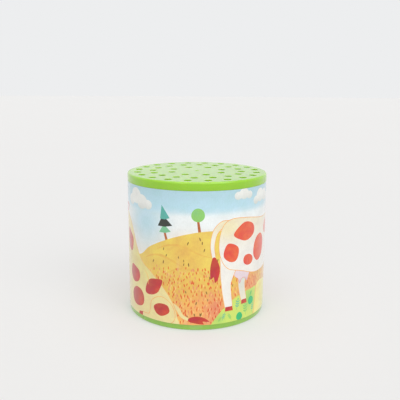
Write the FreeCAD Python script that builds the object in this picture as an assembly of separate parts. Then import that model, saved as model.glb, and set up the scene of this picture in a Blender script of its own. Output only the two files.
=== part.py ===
"""Tilt sound can: a round can that lows like a cow when it is turned over and back.

A printed paperboard tube is closed by a perforated plastic lid and a plain plastic base. Inside it a
weighted carrier slides on the tube's wall and rides on a film bellows. Turned over, the carrier falls
towards the lid and the bellows fills through a ring valve; set upright again, it sinks and blows the
air through a beating reed and a short horn.

Frame: +Z up, origin at the middle of the base's resting plane, millimetres. The front of the can is
its -Y side. The carrier is drawn at its lower stop, where it lies while the can stands on its base.
"""
import FreeCAD, Part
import math
import os

# ---------------------------------------------------------------- driving sizes
OUTER_RADIUS = 40.0        # label and lid rim
OVERALL_HEIGHT = 80.9      # resting plane to the lid's face

# paperboard tube and its label
LABEL_THICKNESS = 0.25
TUBE_WALL = 1.2
GLUE_GAP = 0.02            # glue film between the label and the tube

# lid and base, each a rim that butts on the tube and a plug that goes inside it
LID_RIM_HEIGHT = 4.7
LID_PLATE = 1.8
LID_EDGE_ROUND = 1.1
BASE_RIM_HEIGHT = 3.3
BASE_RIM_INSET = 0.4       # the label stands proud of the base rim by this much
BASE_PLATE = 2.0
BASE_EDGE_ROUND = 1.0
FOOT_HEIGHT = 0.8
FOOT_WIDTH = 3.0
PLUG_DEPTH = 7.0
PLUG_WALL = 1.8
PLUG_FIT = 0.05
PLUG_LEAD_IN = 0.5
RIM_UNDER_ROUND = 0.25

# sound holes in the lid, from the outer ring inwards
HOLE_DIAMETER = 4.2
HOLE_LIP = 0.2
HOLE_EDGE_LAND = 0.3       # plug's inner wall to the outer ring's holes
RING_STEPS = (0.0, 8.7, 10.4)      # each ring's radius is this much less than the one before
RING_COUNTS = (20, 16, 8)
RING_TURNS = (10.2, 19.5, 19.7)    # first hole's angle from +X, degrees
GATE_DIMPLE_RADIUS = 1.2   # moulding gate in the middle, sunk so that the lid stands flat
GATE_DIMPLE_DEPTH = 0.6
GATE_NUB_RADIUS = 0.7
GATE_NUB_HEIGHT = 0.35

# bumper rings that soften both ends of the carrier's travel
BUMPER_THICKNESS = 1.6
BUMPER_INSET = 0.1
STOP_GAP = 0.1

# bellows and what clamps its two collars
FOLD_CLEARANCE = 2.6       # outer folds to the base's plug
SPIGOT_WALL = 1.4
SPIGOT_HEIGHT = 6.0
FILM = 0.3
FILM_FIT = 0.05
PLEAT_LAYERS = 14          # even, so that both ends leave from a collar
LAYER_PITCH = 0.75
PLEAT_OUTWARD = 4.0        # collar to the outer folds
PLEAT_INWARD = 3.5         # collar to the inner folds
FOLD_GAP = 0.2             # spigot's end to the nearest layer
CLAMP_WALL = 1.6
CLAMP_HEIGHT = 4.0
CLAMP_SHOULDER = 1.2       # from the clamp ring's root end to the plate it faces

# sliding carrier
GUIDE_CLEARANCE = 0.6
GUIDE_WALL = 1.5
GUIDE_RISE = 3.85          # guide's top above the weight's cover
WEB = 2.0
HUB_WALL = 2.5
HUB_RISE = 5.0
RIM_ROUND = 0.4

# cast weight and the ring that keeps it in
WEIGHT_HEIGHT = 5.5
WEIGHT_WIDTH = 13.2        # bore to outer face
WEIGHT_FIT = 0.25
WEIGHT_CHAMFER = 0.6
COVER_THICKNESS = 1.4
COVER_LIP = 0.3            # the cover's bore is this much wider than the weight's
FINGER_NOTCHES = 3
NOTCH_RADIUS = 3.0
NOTCH_TURN = 30.0          # first notch's angle from +X, degrees

# inlet valve under the web, round the reed boot
INLET_COUNT = 6
INLET_RADIUS = 2.0
INLET_CIRCLE_LAND = 2.5    # boot to the inlet holes
VALVE_THICKNESS = 0.6
VALVE_LIFT = 1.5
VALVE_BORE_CLEARANCE = 0.3
VALVE_OVERLAP = 2.0        # past the inlet holes
RETAINER_WIDTH = 3.0
RETAINER_THICKNESS = 1.2
RETAINER_GROOVE = 0.4
RETAINER_SPLIT = 60.0      # degrees that the open clip leaves out

# reed voice: boot, block, shallot, tongue, wedge and horn
BOOT_BORE_RADIUS = 6.6
BOOT_WALL = 1.4
BOOT_BELOW_WEB = 10.3
BOOT_FLANGE = 1.2
BLOCK_DEPTH = 6.0
BLOCK_FLANGE = 1.2
SHALLOT_RECESS = 1.0       # shallot's top to the boot's top
SHALLOT_RADIUS = 3.5
SHALLOT_BORE_RADIUS = 1.7
SHALLOT_LENGTH = 19.0
SHALLOT_FACE_WALL = 0.4    # bore to the flat face that the tongue beats on
SHALLOT_END = 1.2
SLOT_WIDTH = 2.4
SLOT_LENGTH = 10.5
SLOT_FOOT = 1.2            # slot to the shallot's closed end
TONGUE_SIDE_CLEARANCE = 0.3
TONGUE_THICKNESS = 0.2
TONGUE_LENGTH = 18.0
TONGUE_CLAMPED = 4.0
TONGUE_GAP = 0.15          # to the flat face, at the clamp
TONGUE_OPEN_DEG = 2.0      # how far the tongue stands off the flat face at rest
WEDGE_GAP = 0.25
WEDGE_FIT = 0.05
HORN_HEIGHT = 7.0
HORN_SEAT = 0.45           # how far the throat stands out past the stem, on the block
HORN_MOUTH_RADIUS = 13.0
HORN_WALL = 0.9
HORN_FLARE = 1.6           # bell curve's strength: 1 is a straight cone
HORN_POINTS = 10           # spans of the bell curve
HORN_STEM_WALL = 1.1
HORN_HEADROOM = 0.5        # mouth to the lid's plate, with the carrier at its upper stop

# ---------------------------------------------------------------- places worked out from them
tube_outer = OUTER_RADIUS - LABEL_THICKNESS - GLUE_GAP
tube_inner = tube_outer - TUBE_WALL
tube_bottom = BASE_RIM_HEIGHT
tube_top = OVERALL_HEIGHT - LID_RIM_HEIGHT
plug_outer = tube_inner - PLUG_FIT
plug_inner = plug_outer - PLUG_WALL
base_radius = OUTER_RADIUS - BASE_RIM_INSET
foot_inner = base_radius - FOOT_WIDTH
base_floor = FOOT_HEIGHT + BASE_PLATE
base_plug_top = BASE_RIM_HEIGHT + PLUG_DEPTH
lid_plug_bottom = tube_top - PLUG_DEPTH
lid_ceiling = OVERALL_HEIGHT - LID_PLATE

lower_spigot_top = base_floor + SPIGOT_HEIGHT
first_layer = lower_spigot_top + FOLD_GAP
last_layer_top = first_layer + (PLEAT_LAYERS - 1) * LAYER_PITCH + FILM
upper_spigot_bottom = last_layer_top + FOLD_GAP
web_bottom = upper_spigot_bottom + SPIGOT_HEIGHT
web_top = web_bottom + WEB
outer_fold = plug_inner - FOLD_CLEARANCE
collar_inner = outer_fold - PLEAT_OUTWARD
collar_outer = collar_inner + FILM
inner_fold = collar_inner - PLEAT_INWARD
spigot_radius = collar_inner - FILM_FIT
clamp_inner = collar_outer + FILM_FIT

guide_outer = tube_inner - GUIDE_CLEARANCE
guide_inner = guide_outer - GUIDE_WALL
weight_outer = guide_inner - WEIGHT_FIT
weight_bore = weight_outer - WEIGHT_WIDTH
weight_top = web_top + WEIGHT_HEIGHT
cover_top = weight_top + COVER_THICKNESS
guide_bottom = base_plug_top + BUMPER_THICKNESS + STOP_GAP
guide_top = cover_top + GUIDE_RISE
travel = lid_plug_bottom - BUMPER_THICKNESS - STOP_GAP - guide_top

horn_top = lid_ceiling - HORN_HEADROOM - travel
horn_bottom = horn_top - HORN_HEIGHT
boot_outer = BOOT_BORE_RADIUS + BOOT_WALL
boot_bottom = web_bottom - BOOT_BELOW_WEB
boot_top = horn_bottom - BLOCK_FLANGE
hub_top = web_top + HUB_RISE
hub_bore = boot_outer + PLUG_FIT
inlet_circle = hub_bore + INLET_CIRCLE_LAND + INLET_RADIUS
valve_outer = inlet_circle + INLET_RADIUS + VALVE_OVERLAP
valve_bottom = web_bottom - VALVE_THICKNESS - VALVE_LIFT - STOP_GAP
retainer_top = valve_bottom - STOP_GAP
retainer_bottom = retainer_top - RETAINER_THICKNESS
block_bottom = boot_top - BLOCK_DEPTH
shallot_top = boot_top - SHALLOT_RECESS
shallot_bottom = shallot_top - SHALLOT_LENGTH
tongue_top = block_bottom + TONGUE_CLAMPED
tongue_pivot_z = block_bottom + TONGUE_CLAMPED / 2
shallot_flat = SHALLOT_BORE_RADIUS + SHALLOT_FACE_WALL
tongue_back = shallot_flat + TONGUE_GAP
tongue_front = tongue_back + TONGUE_THICKNESS
tongue_half_width = math.sqrt(SHALLOT_RADIUS ** 2 - tongue_front ** 2) - TONGUE_SIDE_CLEARANCE
horn_throat = SHALLOT_RADIUS + HORN_SEAT - HORN_WALL

Z_AXIS = FreeCAD.Vector(0, 0, 1)


# ---------------------------------------------------------------- helpers
def at(x, y, z):
    """A point."""
    return FreeCAD.Vector(x, y, z)


def rod(radius, z0, z1, x=0.0, y=0.0):
    """An upright cylinder from z0 to z1."""
    return Part.makeCylinder(radius, z1 - z0, at(x, y, z0), Z_AXIS)


def ring(inner, outer, z0, z1):
    """An upright ring from z0 to z1."""
    return rod(outer, z0, z1).cut(rod(inner, z0, z1))


def joined(shapes):
    """One solid from shapes that meet or overlap."""
    shapes = list(shapes)
    return shapes[0].multiFuse(shapes[1:]).removeSplitter()


def turned(points):
    """A solid of revolution about Z from a closed outline of (radius, z) points."""
    corners = [at(r, 0, z) for r, z in points]
    face = Part.Face(Part.makePolygon(corners + corners[:1]))
    return face.revolve(at(0, 0, 0), Z_AXIS, 360)


def circles_at(shape, radius, z):
    """The round edges of a shape that have this radius and height."""
    found = []
    for edge in shape.Edges:
        curve = edge.Curve
        if isinstance(curve, Part.Circle) and abs(curve.Radius - radius) < 1e-4:
            if abs(edge.BoundBox.ZMin - z) < 1e-4 and abs(edge.BoundBox.ZMax - z) < 1e-4:
                found.append(edge)
    return found


def rounded(shape, size, places):
    """The shape with the round edges at (radius, z) places filleted."""
    edges = [edge for r, z in places for edge in circles_at(shape, r, z)]
    return shape.makeFillet(size, edges)


def bevelled(shape, size, places):
    """The shape with the round edges at (radius, z) places chamfered."""
    edges = [edge for r, z in places for edge in circles_at(shape, r, z)]
    return shape.makeChamfer(size, edges)


def around(count, radius, first_deg=0.0):
    """Evenly spaced (x, y) places on a circle."""
    for k in range(count):
        angle = math.radians(first_deg + 360.0 * k / count)
        yield radius * math.cos(angle), radius * math.sin(angle)


# ---------------------------------------------------------------- can
def paper_tube():
    """Paperboard tube between the two rims."""
    return ring(tube_inner, tube_outer, tube_bottom, tube_top)


def printed_label():
    """Paper label wrapped once round the tube."""
    return ring(OUTER_RADIUS - LABEL_THICKNESS, OUTER_RADIUS, tube_bottom, tube_top)


def sound_hole(x, y):
    """Cutter for one sound hole, with a small lip on the lid's face."""
    half = HOLE_DIAMETER / 2
    bore = rod(half, lid_ceiling, OVERALL_HEIGHT, x, y)
    lip = Part.makeCone(half, half + HOLE_LIP, HOLE_LIP, at(x, y, OVERALL_HEIGHT - HOLE_LIP), Z_AXIS)
    return [bore, lip]


def perforated_lid():
    """Lid: a perforated plate, a rim flush with the label and a plug inside the tube."""
    lid = turned([
        (0, OVERALL_HEIGHT), (OUTER_RADIUS, OVERALL_HEIGHT), (OUTER_RADIUS, tube_top),
        (plug_outer, tube_top), (plug_outer, lid_plug_bottom), (plug_inner, lid_plug_bottom),
        (plug_inner, lid_ceiling), (0, lid_ceiling)])
    lid = rounded(lid, LID_EDGE_ROUND, [(OUTER_RADIUS, OVERALL_HEIGHT)])
    lid = rounded(lid, RIM_UNDER_ROUND, [(OUTER_RADIUS, tube_top)])
    lid = bevelled(lid, PLUG_LEAD_IN, [(plug_outer, lid_plug_bottom)])
    cutters = []
    radius = plug_inner - HOLE_EDGE_LAND - HOLE_DIAMETER / 2
    for step, count, turn in zip(RING_STEPS, RING_COUNTS, RING_TURNS):
        radius -= step
        for x, y in around(count, radius, turn):
            cutters += sound_hole(x, y)
    dimple_floor = OVERALL_HEIGHT - GATE_DIMPLE_DEPTH
    cutters.append(rod(GATE_DIMPLE_RADIUS, dimple_floor, OVERALL_HEIGHT))
    return joined([lid.cut(cutters), rod(GATE_NUB_RADIUS, dimple_floor, dimple_floor + GATE_NUB_HEIGHT)])


def base_cap():
    """Base: a rim just inside the label, a foot ring, a plug, and the spigot for the bellows."""
    base = turned([
        (0, FOOT_HEIGHT), (foot_inner, FOOT_HEIGHT), (foot_inner, 0), (base_radius, 0),
        (base_radius, tube_bottom), (plug_outer, tube_bottom), (plug_outer, base_plug_top),
        (plug_inner, base_plug_top), (plug_inner, base_floor), (0, base_floor)])
    base = rounded(base, BASE_EDGE_ROUND, [(base_radius, 0)])
    base = bevelled(base, PLUG_LEAD_IN, [(plug_outer, base_plug_top)])
    return joined([base, ring(spigot_radius - SPIGOT_WALL, spigot_radius, base_floor, lower_spigot_top)])


def bumper_ring(z0):
    """Foam ring on the end of a plug."""
    outer = plug_outer - PLUG_LEAD_IN - BUMPER_INSET
    return ring(plug_inner + BUMPER_INSET, outer, z0, z0 + BUMPER_THICKNESS)


def clamp_ring(z0):
    """Hard ring that holds a collar of the bellows on its spigot."""
    outer = clamp_inner + CLAMP_WALL
    clamp = ring(clamp_inner, outer, z0, z0 + CLAMP_HEIGHT)
    return rounded(clamp, RIM_ROUND, [(outer, z0), (outer, z0 + CLAMP_HEIGHT)])


def bellows():
    """Film bellows, folded flat: two collars and a stack of layers joined at alternate folds."""
    last = PLEAT_LAYERS - 1
    pieces = [ring(collar_inner, collar_outer, base_floor + CLAMP_SHOULDER / 2, first_layer + FILM)]
    for k in range(PLEAT_LAYERS):
        z = first_layer + k * LAYER_PITCH
        inner = collar_inner if k in (0, last) else inner_fold
        pieces.append(ring(inner, outer_fold, z, z + FILM))
        if k < last:
            wall = (outer_fold - FILM, outer_fold) if k % 2 == 0 else (inner_fold, inner_fold + FILM)
            pieces.append(ring(wall[0], wall[1], z, z + LAYER_PITCH + FILM))
    pieces.append(ring(collar_inner, collar_outer, last_layer_top - FILM, web_bottom - CLAMP_SHOULDER / 2))
    return joined(pieces)


# ---------------------------------------------------------------- sliding carrier
def weight_carrier():
    """Carrier: guide wall, web with inlet holes, hub for the reed boot and spigot for the bellows."""
    body = joined([
        ring(guide_inner, guide_outer, guide_bottom, guide_top),
        ring(hub_bore, guide_inner, web_bottom, web_top),
        ring(hub_bore, hub_bore + HUB_WALL, web_top, hub_top),
        ring(spigot_radius - SPIGOT_WALL, spigot_radius, upper_spigot_bottom, web_bottom)])
    body = rounded(body, RIM_ROUND, [(guide_outer, guide_bottom), (guide_outer, guide_top)])
    inlets = around(INLET_COUNT, inlet_circle)
    return body.cut([rod(INLET_RADIUS, web_bottom, web_top, x, y) for x, y in inlets])


def weight_ring():
    """Cast ring that drives the bellows."""
    cast = ring(weight_bore, weight_outer, web_top, weight_top)
    return bevelled(cast, WEIGHT_CHAMFER, [(weight_bore, weight_top), (weight_outer, weight_top)])


def weight_cover():
    """Press-in ring over the weight, with finger notches in its bore."""
    bore = weight_bore + COVER_LIP
    cover = ring(bore, guide_inner - PLUG_FIT, weight_top, cover_top)
    places = around(FINGER_NOTCHES, bore, NOTCH_TURN)
    return cover.cut([rod(NOTCH_RADIUS, weight_top, cover_top, x, y) for x, y in places])


# ---------------------------------------------------------------- inlet valve
def valve_ring():
    """Loose rubber ring that closes the inlet holes from below. Drawn dropped, which is open."""
    return ring(boot_outer + VALVE_BORE_CLEARANCE, valve_outer, valve_bottom, valve_bottom + VALVE_THICKNESS)


def valve_retainer():
    """Open clip in the boot's groove, which the valve ring drops on."""
    clip = ring(boot_outer - RETAINER_GROOVE, boot_outer + RETAINER_WIDTH, retainer_bottom, retainer_top)
    reach = boot_outer + RETAINER_WIDTH + 1.0
    half = math.radians(RETAINER_SPLIT / 2)
    corners = [at(0, 0, retainer_bottom), at(reach, -reach * math.tan(half), retainer_bottom),
               at(reach, reach * math.tan(half), retainer_bottom)]
    gap = Part.Face(Part.makePolygon(corners + corners[:1])).extrude(at(0, 0, RETAINER_THICKNESS))
    return clip.cut(gap)


# ---------------------------------------------------------------- reed voice
def reed_boot():
    """Tube that carries the bellows' air up to the reed, with a flange that sits on the hub."""
    boot = joined([
        ring(BOOT_BORE_RADIUS, boot_outer, boot_bottom, boot_top),
        ring(BOOT_BORE_RADIUS, hub_bore + HUB_WALL, hub_top, hub_top + BOOT_FLANGE)])
    return boot.cut(ring(boot_outer - RETAINER_GROOVE, boot_outer + 1.0, retainer_bottom, retainer_top))


def reed_block():
    """Plug in the boot's top that holds the shallot and wedge."""
    bore = SHALLOT_RADIUS + WEDGE_FIT
    return joined([
        ring(bore, BOOT_BORE_RADIUS - PLUG_FIT, block_bottom, boot_top),
        ring(bore, boot_outer, boot_top, horn_bottom)])


def shallot():
    """Brass tube with a flat, slotted face, closed at its foot."""
    tube = rod(SHALLOT_RADIUS, shallot_bottom, shallot_top).cut(
        rod(SHALLOT_BORE_RADIUS, shallot_bottom + SHALLOT_END, shallot_top))
    width = 2 * SHALLOT_RADIUS
    corner = at(-width / 2, -shallot_flat - width, shallot_bottom)
    beyond = Part.makeBox(width, width, SHALLOT_LENGTH, corner)
    corner = at(-SLOT_WIDTH / 2, -shallot_flat, shallot_bottom + SHALLOT_END + SLOT_FOOT)
    slot = Part.makeBox(SLOT_WIDTH, shallot_flat, SLOT_LENGTH, corner)
    return tube.cut([beyond, slot])


def reed_tongue():
    """Thin strip, clamped at its top, that beats on the shallot's flat face."""
    corner = at(-tongue_half_width, -tongue_front, tongue_top - TONGUE_LENGTH)
    strip = Part.makeBox(2 * tongue_half_width, TONGUE_THICKNESS, TONGUE_LENGTH, corner)
    pivot = at(0, -(tongue_back + tongue_front) / 2, tongue_pivot_z)
    strip.rotate(pivot, at(1, 0, 0), -TONGUE_OPEN_DEG)
    return strip


def reed_wedge():
    """Segment-shaped wedge beside the clamped end of the tongue."""
    wedge = rod(SHALLOT_RADIUS, block_bottom, shallot_top)
    width = 2 * SHALLOT_RADIUS
    corner = at(-width / 2, -tongue_front - WEDGE_GAP, block_bottom)
    return wedge.cut(Part.makeBox(width, 2 * width, BLOCK_DEPTH, corner))


def flare(throat, mouth):
    """Curve of the horn's wall in the XZ plane, from its throat's radius to its mouth's."""
    points = []
    for k in range(HORN_POINTS + 1):
        share = k / HORN_POINTS
        radius = throat + (mouth - throat) * share ** HORN_FLARE
        points.append(at(radius, 0, horn_bottom + HORN_HEIGHT * share))
    curve = Part.BSplineCurve()
    curve.interpolate(points)
    return curve.toShape()


def sound_horn():
    """Short flared horn on the block, with a stem in the block's bore."""
    stem_inner = SHALLOT_RADIUS - HORN_STEM_WALL
    outline = [
        at(horn_throat + HORN_WALL, 0, horn_bottom), at(SHALLOT_RADIUS, 0, horn_bottom),
        at(SHALLOT_RADIUS, 0, shallot_top), at(stem_inner, 0, shallot_top),
        at(stem_inner, 0, horn_bottom), at(horn_throat, 0, horn_bottom)]
    edges = [Part.LineSegment(a, b).toShape() for a, b in zip(outline, outline[1:])]
    lip = (at(HORN_MOUTH_RADIUS, 0, horn_top), at(HORN_MOUTH_RADIUS + HORN_WALL, 0, horn_top))
    edges.append(Part.LineSegment(*lip).toShape())
    edges.append(flare(horn_throat, HORN_MOUTH_RADIUS))
    edges.append(flare(horn_throat + HORN_WALL, HORN_MOUTH_RADIUS + HORN_WALL))
    wire = Part.Wire(Part.__sortEdges__(edges))
    return Part.Face(wire).revolve(at(0, 0, 0), Z_AXIS, 360)


NODES = {
    "paper_tube": paper_tube,
    "printed_label": printed_label,
    "perforated_lid": perforated_lid,
    "base_cap": base_cap,
    "lower_bumper_ring": lambda: bumper_ring(base_plug_top),
    "upper_bumper_ring": lambda: bumper_ring(lid_plug_bottom - BUMPER_THICKNESS),
    "lower_clamp_ring": lambda: clamp_ring(base_floor + CLAMP_SHOULDER),
    "upper_clamp_ring": lambda: clamp_ring(web_bottom - CLAMP_SHOULDER - CLAMP_HEIGHT),
    "bellows": bellows,
    "weight_carrier": weight_carrier,
    "weight_ring": weight_ring,
    "weight_cover": weight_cover,
    "valve_ring": valve_ring,
    "valve_retainer": valve_retainer,
    "reed_boot": reed_boot,
    "reed_block": reed_block,
    "shallot": shallot,
    "reed_tongue": reed_tongue,
    "reed_wedge": reed_wedge,
    "sound_horn": sound_horn,
}


def main():
    """Writes one STEP file per node and prints each one's size and the carrier's travel."""
    os.makedirs("parts", exist_ok=True)
    for name, make in NODES.items():
        shape = make()
        shape.exportStep(f"parts/{name}.step")
        box = shape.BoundBox
        print(f"{name:20s} solids {len(shape.Solids)} valid {shape.isValid()} volume {shape.Volume:9.1f} "
              f"z {box.ZMin:6.2f} {box.ZMax:6.2f} r {box.XMax:6.2f}")
    pivot_y = -(tongue_back + tongue_front) / 2
    print(f"travel {travel:.3f}  tongue pivot y {pivot_y:.3f} z {tongue_pivot_z:.3f}")


main()
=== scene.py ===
"""Looks of the tilt sound can: printed label, perforated lid, base, tube, bellows and reed voice.

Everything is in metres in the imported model's frame: +Z up, origin in the middle of the resting plane,
the picture's front facing -Y. Artwork is drawn in millimetres on the unrolled label.
"""

import logging
import math
import random
from collections.abc import Callable, Iterable, Sequence
from dataclasses import dataclass, field
from enum import Enum
from typing import ClassVar, Self

import bmesh
import bpy
import numpy as np
from mathutils import Matrix, Vector, geometry


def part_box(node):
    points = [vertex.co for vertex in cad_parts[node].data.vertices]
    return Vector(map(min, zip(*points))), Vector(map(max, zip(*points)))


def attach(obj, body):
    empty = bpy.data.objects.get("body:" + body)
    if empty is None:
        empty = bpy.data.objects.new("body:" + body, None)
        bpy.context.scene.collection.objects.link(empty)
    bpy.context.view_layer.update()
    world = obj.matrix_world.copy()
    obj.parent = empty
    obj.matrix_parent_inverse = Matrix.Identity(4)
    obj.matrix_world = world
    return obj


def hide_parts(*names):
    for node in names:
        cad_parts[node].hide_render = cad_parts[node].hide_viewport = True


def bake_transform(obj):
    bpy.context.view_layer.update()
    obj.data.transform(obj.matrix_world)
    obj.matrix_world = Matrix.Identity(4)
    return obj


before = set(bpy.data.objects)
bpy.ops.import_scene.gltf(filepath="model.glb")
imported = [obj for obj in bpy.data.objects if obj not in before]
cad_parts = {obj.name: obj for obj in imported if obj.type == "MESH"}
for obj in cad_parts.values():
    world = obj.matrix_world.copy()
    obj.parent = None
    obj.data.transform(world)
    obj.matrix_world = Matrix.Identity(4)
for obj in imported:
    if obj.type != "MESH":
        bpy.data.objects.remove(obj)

logging.basicConfig(level=logging.INFO, format="%(message)s")
LOG = logging.getLogger("can")

MM = 0.001
TURN = 2.0 * math.pi
CRISP = 32.0  # degrees; sharper edges of a pierced moulding stay crisp

Point = tuple[float, float]
Colour = tuple[float, float, float]


# ------------------------------------------------------------------------------------ colour
def linear(red: int, green: int, blue: int) -> Colour:
    """Linear colour from 8-bit display values.

    Args:
        red: Red, 0 to 255.
        green: Green, likewise.
        blue: Blue, likewise.

    Returns:
        The same colour in linear light.
    """
    def channel(value: float) -> float:
        """One channel, undone from the display's curve."""
        return value / 12.92 if value <= 0.04045 else ((value + 0.055) / 1.055) ** 2.4
    return channel(red / 255), channel(green / 255), channel(blue / 255)


def mixed(a: Colour, b: Colour, share: float) -> Colour:
    """Colour between two others; share 0 gives the first."""
    return tuple(p + (q - p) * share for p, q in zip(a, b))


def soft_step(low: float, high: float, value: float) -> float:
    """0 below low, 1 above high, smooth between."""
    t = min(max((value - low) / (high - low), 0.0), 1.0)
    return t * t * (3.0 - 2.0 * t)


class Ink(Enum):
    """Printing inks, as linear colours."""

    SKY = linear(178, 214, 225)
    SKY_LOW = linear(186, 223, 236)
    HAZE = linear(241, 246, 245)
    HAZE_WARM = linear(243, 238, 228)
    CLOUD = linear(239, 240, 234)
    CLOUD_SHADE = linear(216, 221, 215)
    STRAW = linear(238, 204, 84)
    STRAW_DEEP = linear(234, 185, 74)
    APRICOT = linear(246, 177, 90)
    CORAL = linear(234, 140, 96)
    PEACH = linear(250, 196, 120)
    RUST = linear(225, 89, 0)
    UMBER = linear(135, 98, 0)
    BRICK = linear(196, 31, 0)
    BRICK_DEEP = linear(179, 14, 0)
    BRICK_LIGHT = linear(219, 65, 0)
    CREAM = linear(230, 214, 135)
    CREAM_LIGHT = linear(239, 222, 155)
    MILK = linear(243, 240, 232)
    MILK_WARM = linear(242, 233, 207)
    LILAC = linear(236, 216, 222)
    LILAC_DEEP = linear(200, 165, 191)
    LIME = linear(208, 228, 99)
    LEAF = linear(140, 205, 98)
    LEAF_DEEP = linear(0, 189, 109)
    TEAL = linear(79, 176, 161)
    PINE = linear(0, 24, 0)
    MINT = linear(117, 194, 143)
    LEMON = linear(245, 232, 122)
    BARK = linear(182, 89, 0)
    INK_GREY = linear(31, 65, 53)
    VERMILION = linear(234, 79, 31)
    VERMILION_DEEP = linear(225, 69, 38)
    WHITE = linear(250, 250, 248)


# ------------------------------------------------------------------------------------ outlines
def curve_through(points: Sequence[Point], closed: bool, step: float = 0.9) -> list[Point]:
    """Smooth line through chosen points.

    Args:
        points: The points it passes through.
        closed: Whether it comes back to the first one.
        step: Spacing of the result, in millimetres.

    Returns:
        Points along a Catmull-Rom curve, without repeating the first.
    """
    count = len(points)
    line: list[Point] = []
    for k in range(count if closed else count - 1):
        if closed:
            p0, p1, p2, p3 = (points[(k + j) % count] for j in (-1, 0, 1, 2))
        else:
            p0, p1, p2, p3 = (points[min(max(k + j, 0), count - 1)] for j in (-1, 0, 1, 2))
        pieces = max(1, round(math.dist(p1, p2) / step))
        for i in range(pieces):
            t = i / pieces
            line.append(tuple(
                0.5 * (2 * b + (c - a) * t + (2 * a - 5 * b + 4 * c - d) * t * t
                       + (3 * b - a - 3 * c + d) * t ** 3)
                for a, b, c, d in zip(p0, p1, p2, p3)))
    if not closed:
        line.append(tuple(points[-1]))
    return line


def set_down(shape: Sequence[Point], x: float, z: float, wide: float, tall: float,
             turn: float) -> list[Point]:
    """Makes a shape larger, turns it and moves it to its place.

    Args:
        shape: Points about its own middle or stalk end, about 1 across.
        x: Its place along the wrap.
        z: Its place's height.
        wide: What its first coordinate is multiplied by.
        tall: What its second coordinate is multiplied by.
        turn: Anticlockwise turn in degrees.

    Returns:
        Points on its outline, in millimetres.
    """
    c, s = math.cos(math.radians(turn)), math.sin(math.radians(turn))
    return [(x + c * u * wide - s * v * tall, z + s * u * wide + c * v * tall) for u, v in shape]


def oval(x: float, z: float, half_width: float, half_height: float, turn: float = 0.0,
         egg: float = 0.0) -> list[Point]:
    """Closed oval.

    Args:
        x: Middle along the wrap.
        z: Middle's height.
        half_width: Half its width before it is turned.
        half_height: Half its height before it is turned.
        turn: Anticlockwise turn in degrees.
        egg: Above 0 makes its upper end narrower, below 0 its lower end.

    Returns:
        Points on its outline.
    """
    count = max(10, round(TURN * max(half_width, half_height) / 0.9))
    angles = [TURN * k / count for k in range(count)]
    shape = [(math.cos(a) * (1.0 - egg * math.sin(a)), math.sin(a)) for a in angles]
    return set_down(shape, x, z, half_width, half_height, turn)


def ribbon(points: Sequence[Point], widths: Sequence[float], step: float = 0.8) -> list[Point]:
    """Outline of a brush stroke whose width changes along it.

    Args:
        points: The points that its middle passes through.
        widths: Its full width at each of them.
        step: Spacing along it, in millimetres.

    Returns:
        Points round the stroke.
    """
    line = curve_through(points, False, step)
    length = len(line) - 1
    left, right = [], []
    for k, (x, z) in enumerate(line):
        ax, az = line[max(k - 1, 0)]
        bx, bz = line[min(k + 1, length)]
        run = math.hypot(bx - ax, bz - az)
        place = k / length * (len(widths) - 1)
        low = min(int(place), len(widths) - 2)
        half = 0.5 * (widths[low] + (widths[low + 1] - widths[low]) * (place - low))
        nx, nz = -(bz - az) / run * half, (bx - ax) / run * half
        left.append((x + nx, z + nz))
        right.append((x - nx, z - nz))
    return left + right[::-1]


def turns_left(outline: Sequence[Point]) -> bool:
    """Whether an outline runs anticlockwise."""
    return sum(a[0] * b[1] - b[0] * a[1] for a, b in zip(outline, [*outline[1:], outline[0]])) > 0


# Closed shapes for set_down: a leaf from its stalk end, and one dab of a brush about its middle.
LEAF_SHAPE = ((0.0, 0.0), (0.3, 0.42), (0.62, 0.45), (1.0, 0.0), (0.62, -0.45), (0.3, -0.42))
DAB_SHAPE = ((0.0, -0.5), (0.42, -0.22), (0.5, 0.2), (0.1, 0.5), (-0.38, 0.26), (-0.5, -0.18))


# ------------------------------------------------------------------------------------ artwork
@dataclass(frozen=True)
class Pool:
    """A soft spot of another ink inside a wash."""

    x: float
    z: float
    radius: float
    ink: Ink
    strength: float = 1.0


@dataclass(frozen=True)
class Wash:
    """Ink that changes with height, with pools of others in it."""

    stops: tuple[tuple[float, Ink], ...]
    pools: tuple[Pool, ...] = ()

    def colour(self, x: float, z: float) -> Colour:
        """Colour at a place on the wrap.

        Args:
            x: Along the wrap.
            z: Height.

        Returns:
            The colour.
        """
        low = high = self.stops[0]
        for stop in self.stops:
            high = stop
            if stop[0] >= z:
                break
            low = stop
        share = soft_step(low[0], high[0], z) if high[0] > low[0] else 0.0
        colour = mixed(low[1].value, high[1].value, share)
        for pool in self.pools:
            near = 1.0 - soft_step(0.0, pool.radius, math.hypot(x - pool.x, z - pool.z))
            colour = mixed(colour, pool.ink.value, near * pool.strength)
        return colour


def flat(ink: Ink) -> Wash:
    """A wash of one ink."""
    return Wash(((0.0, ink),))


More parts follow.
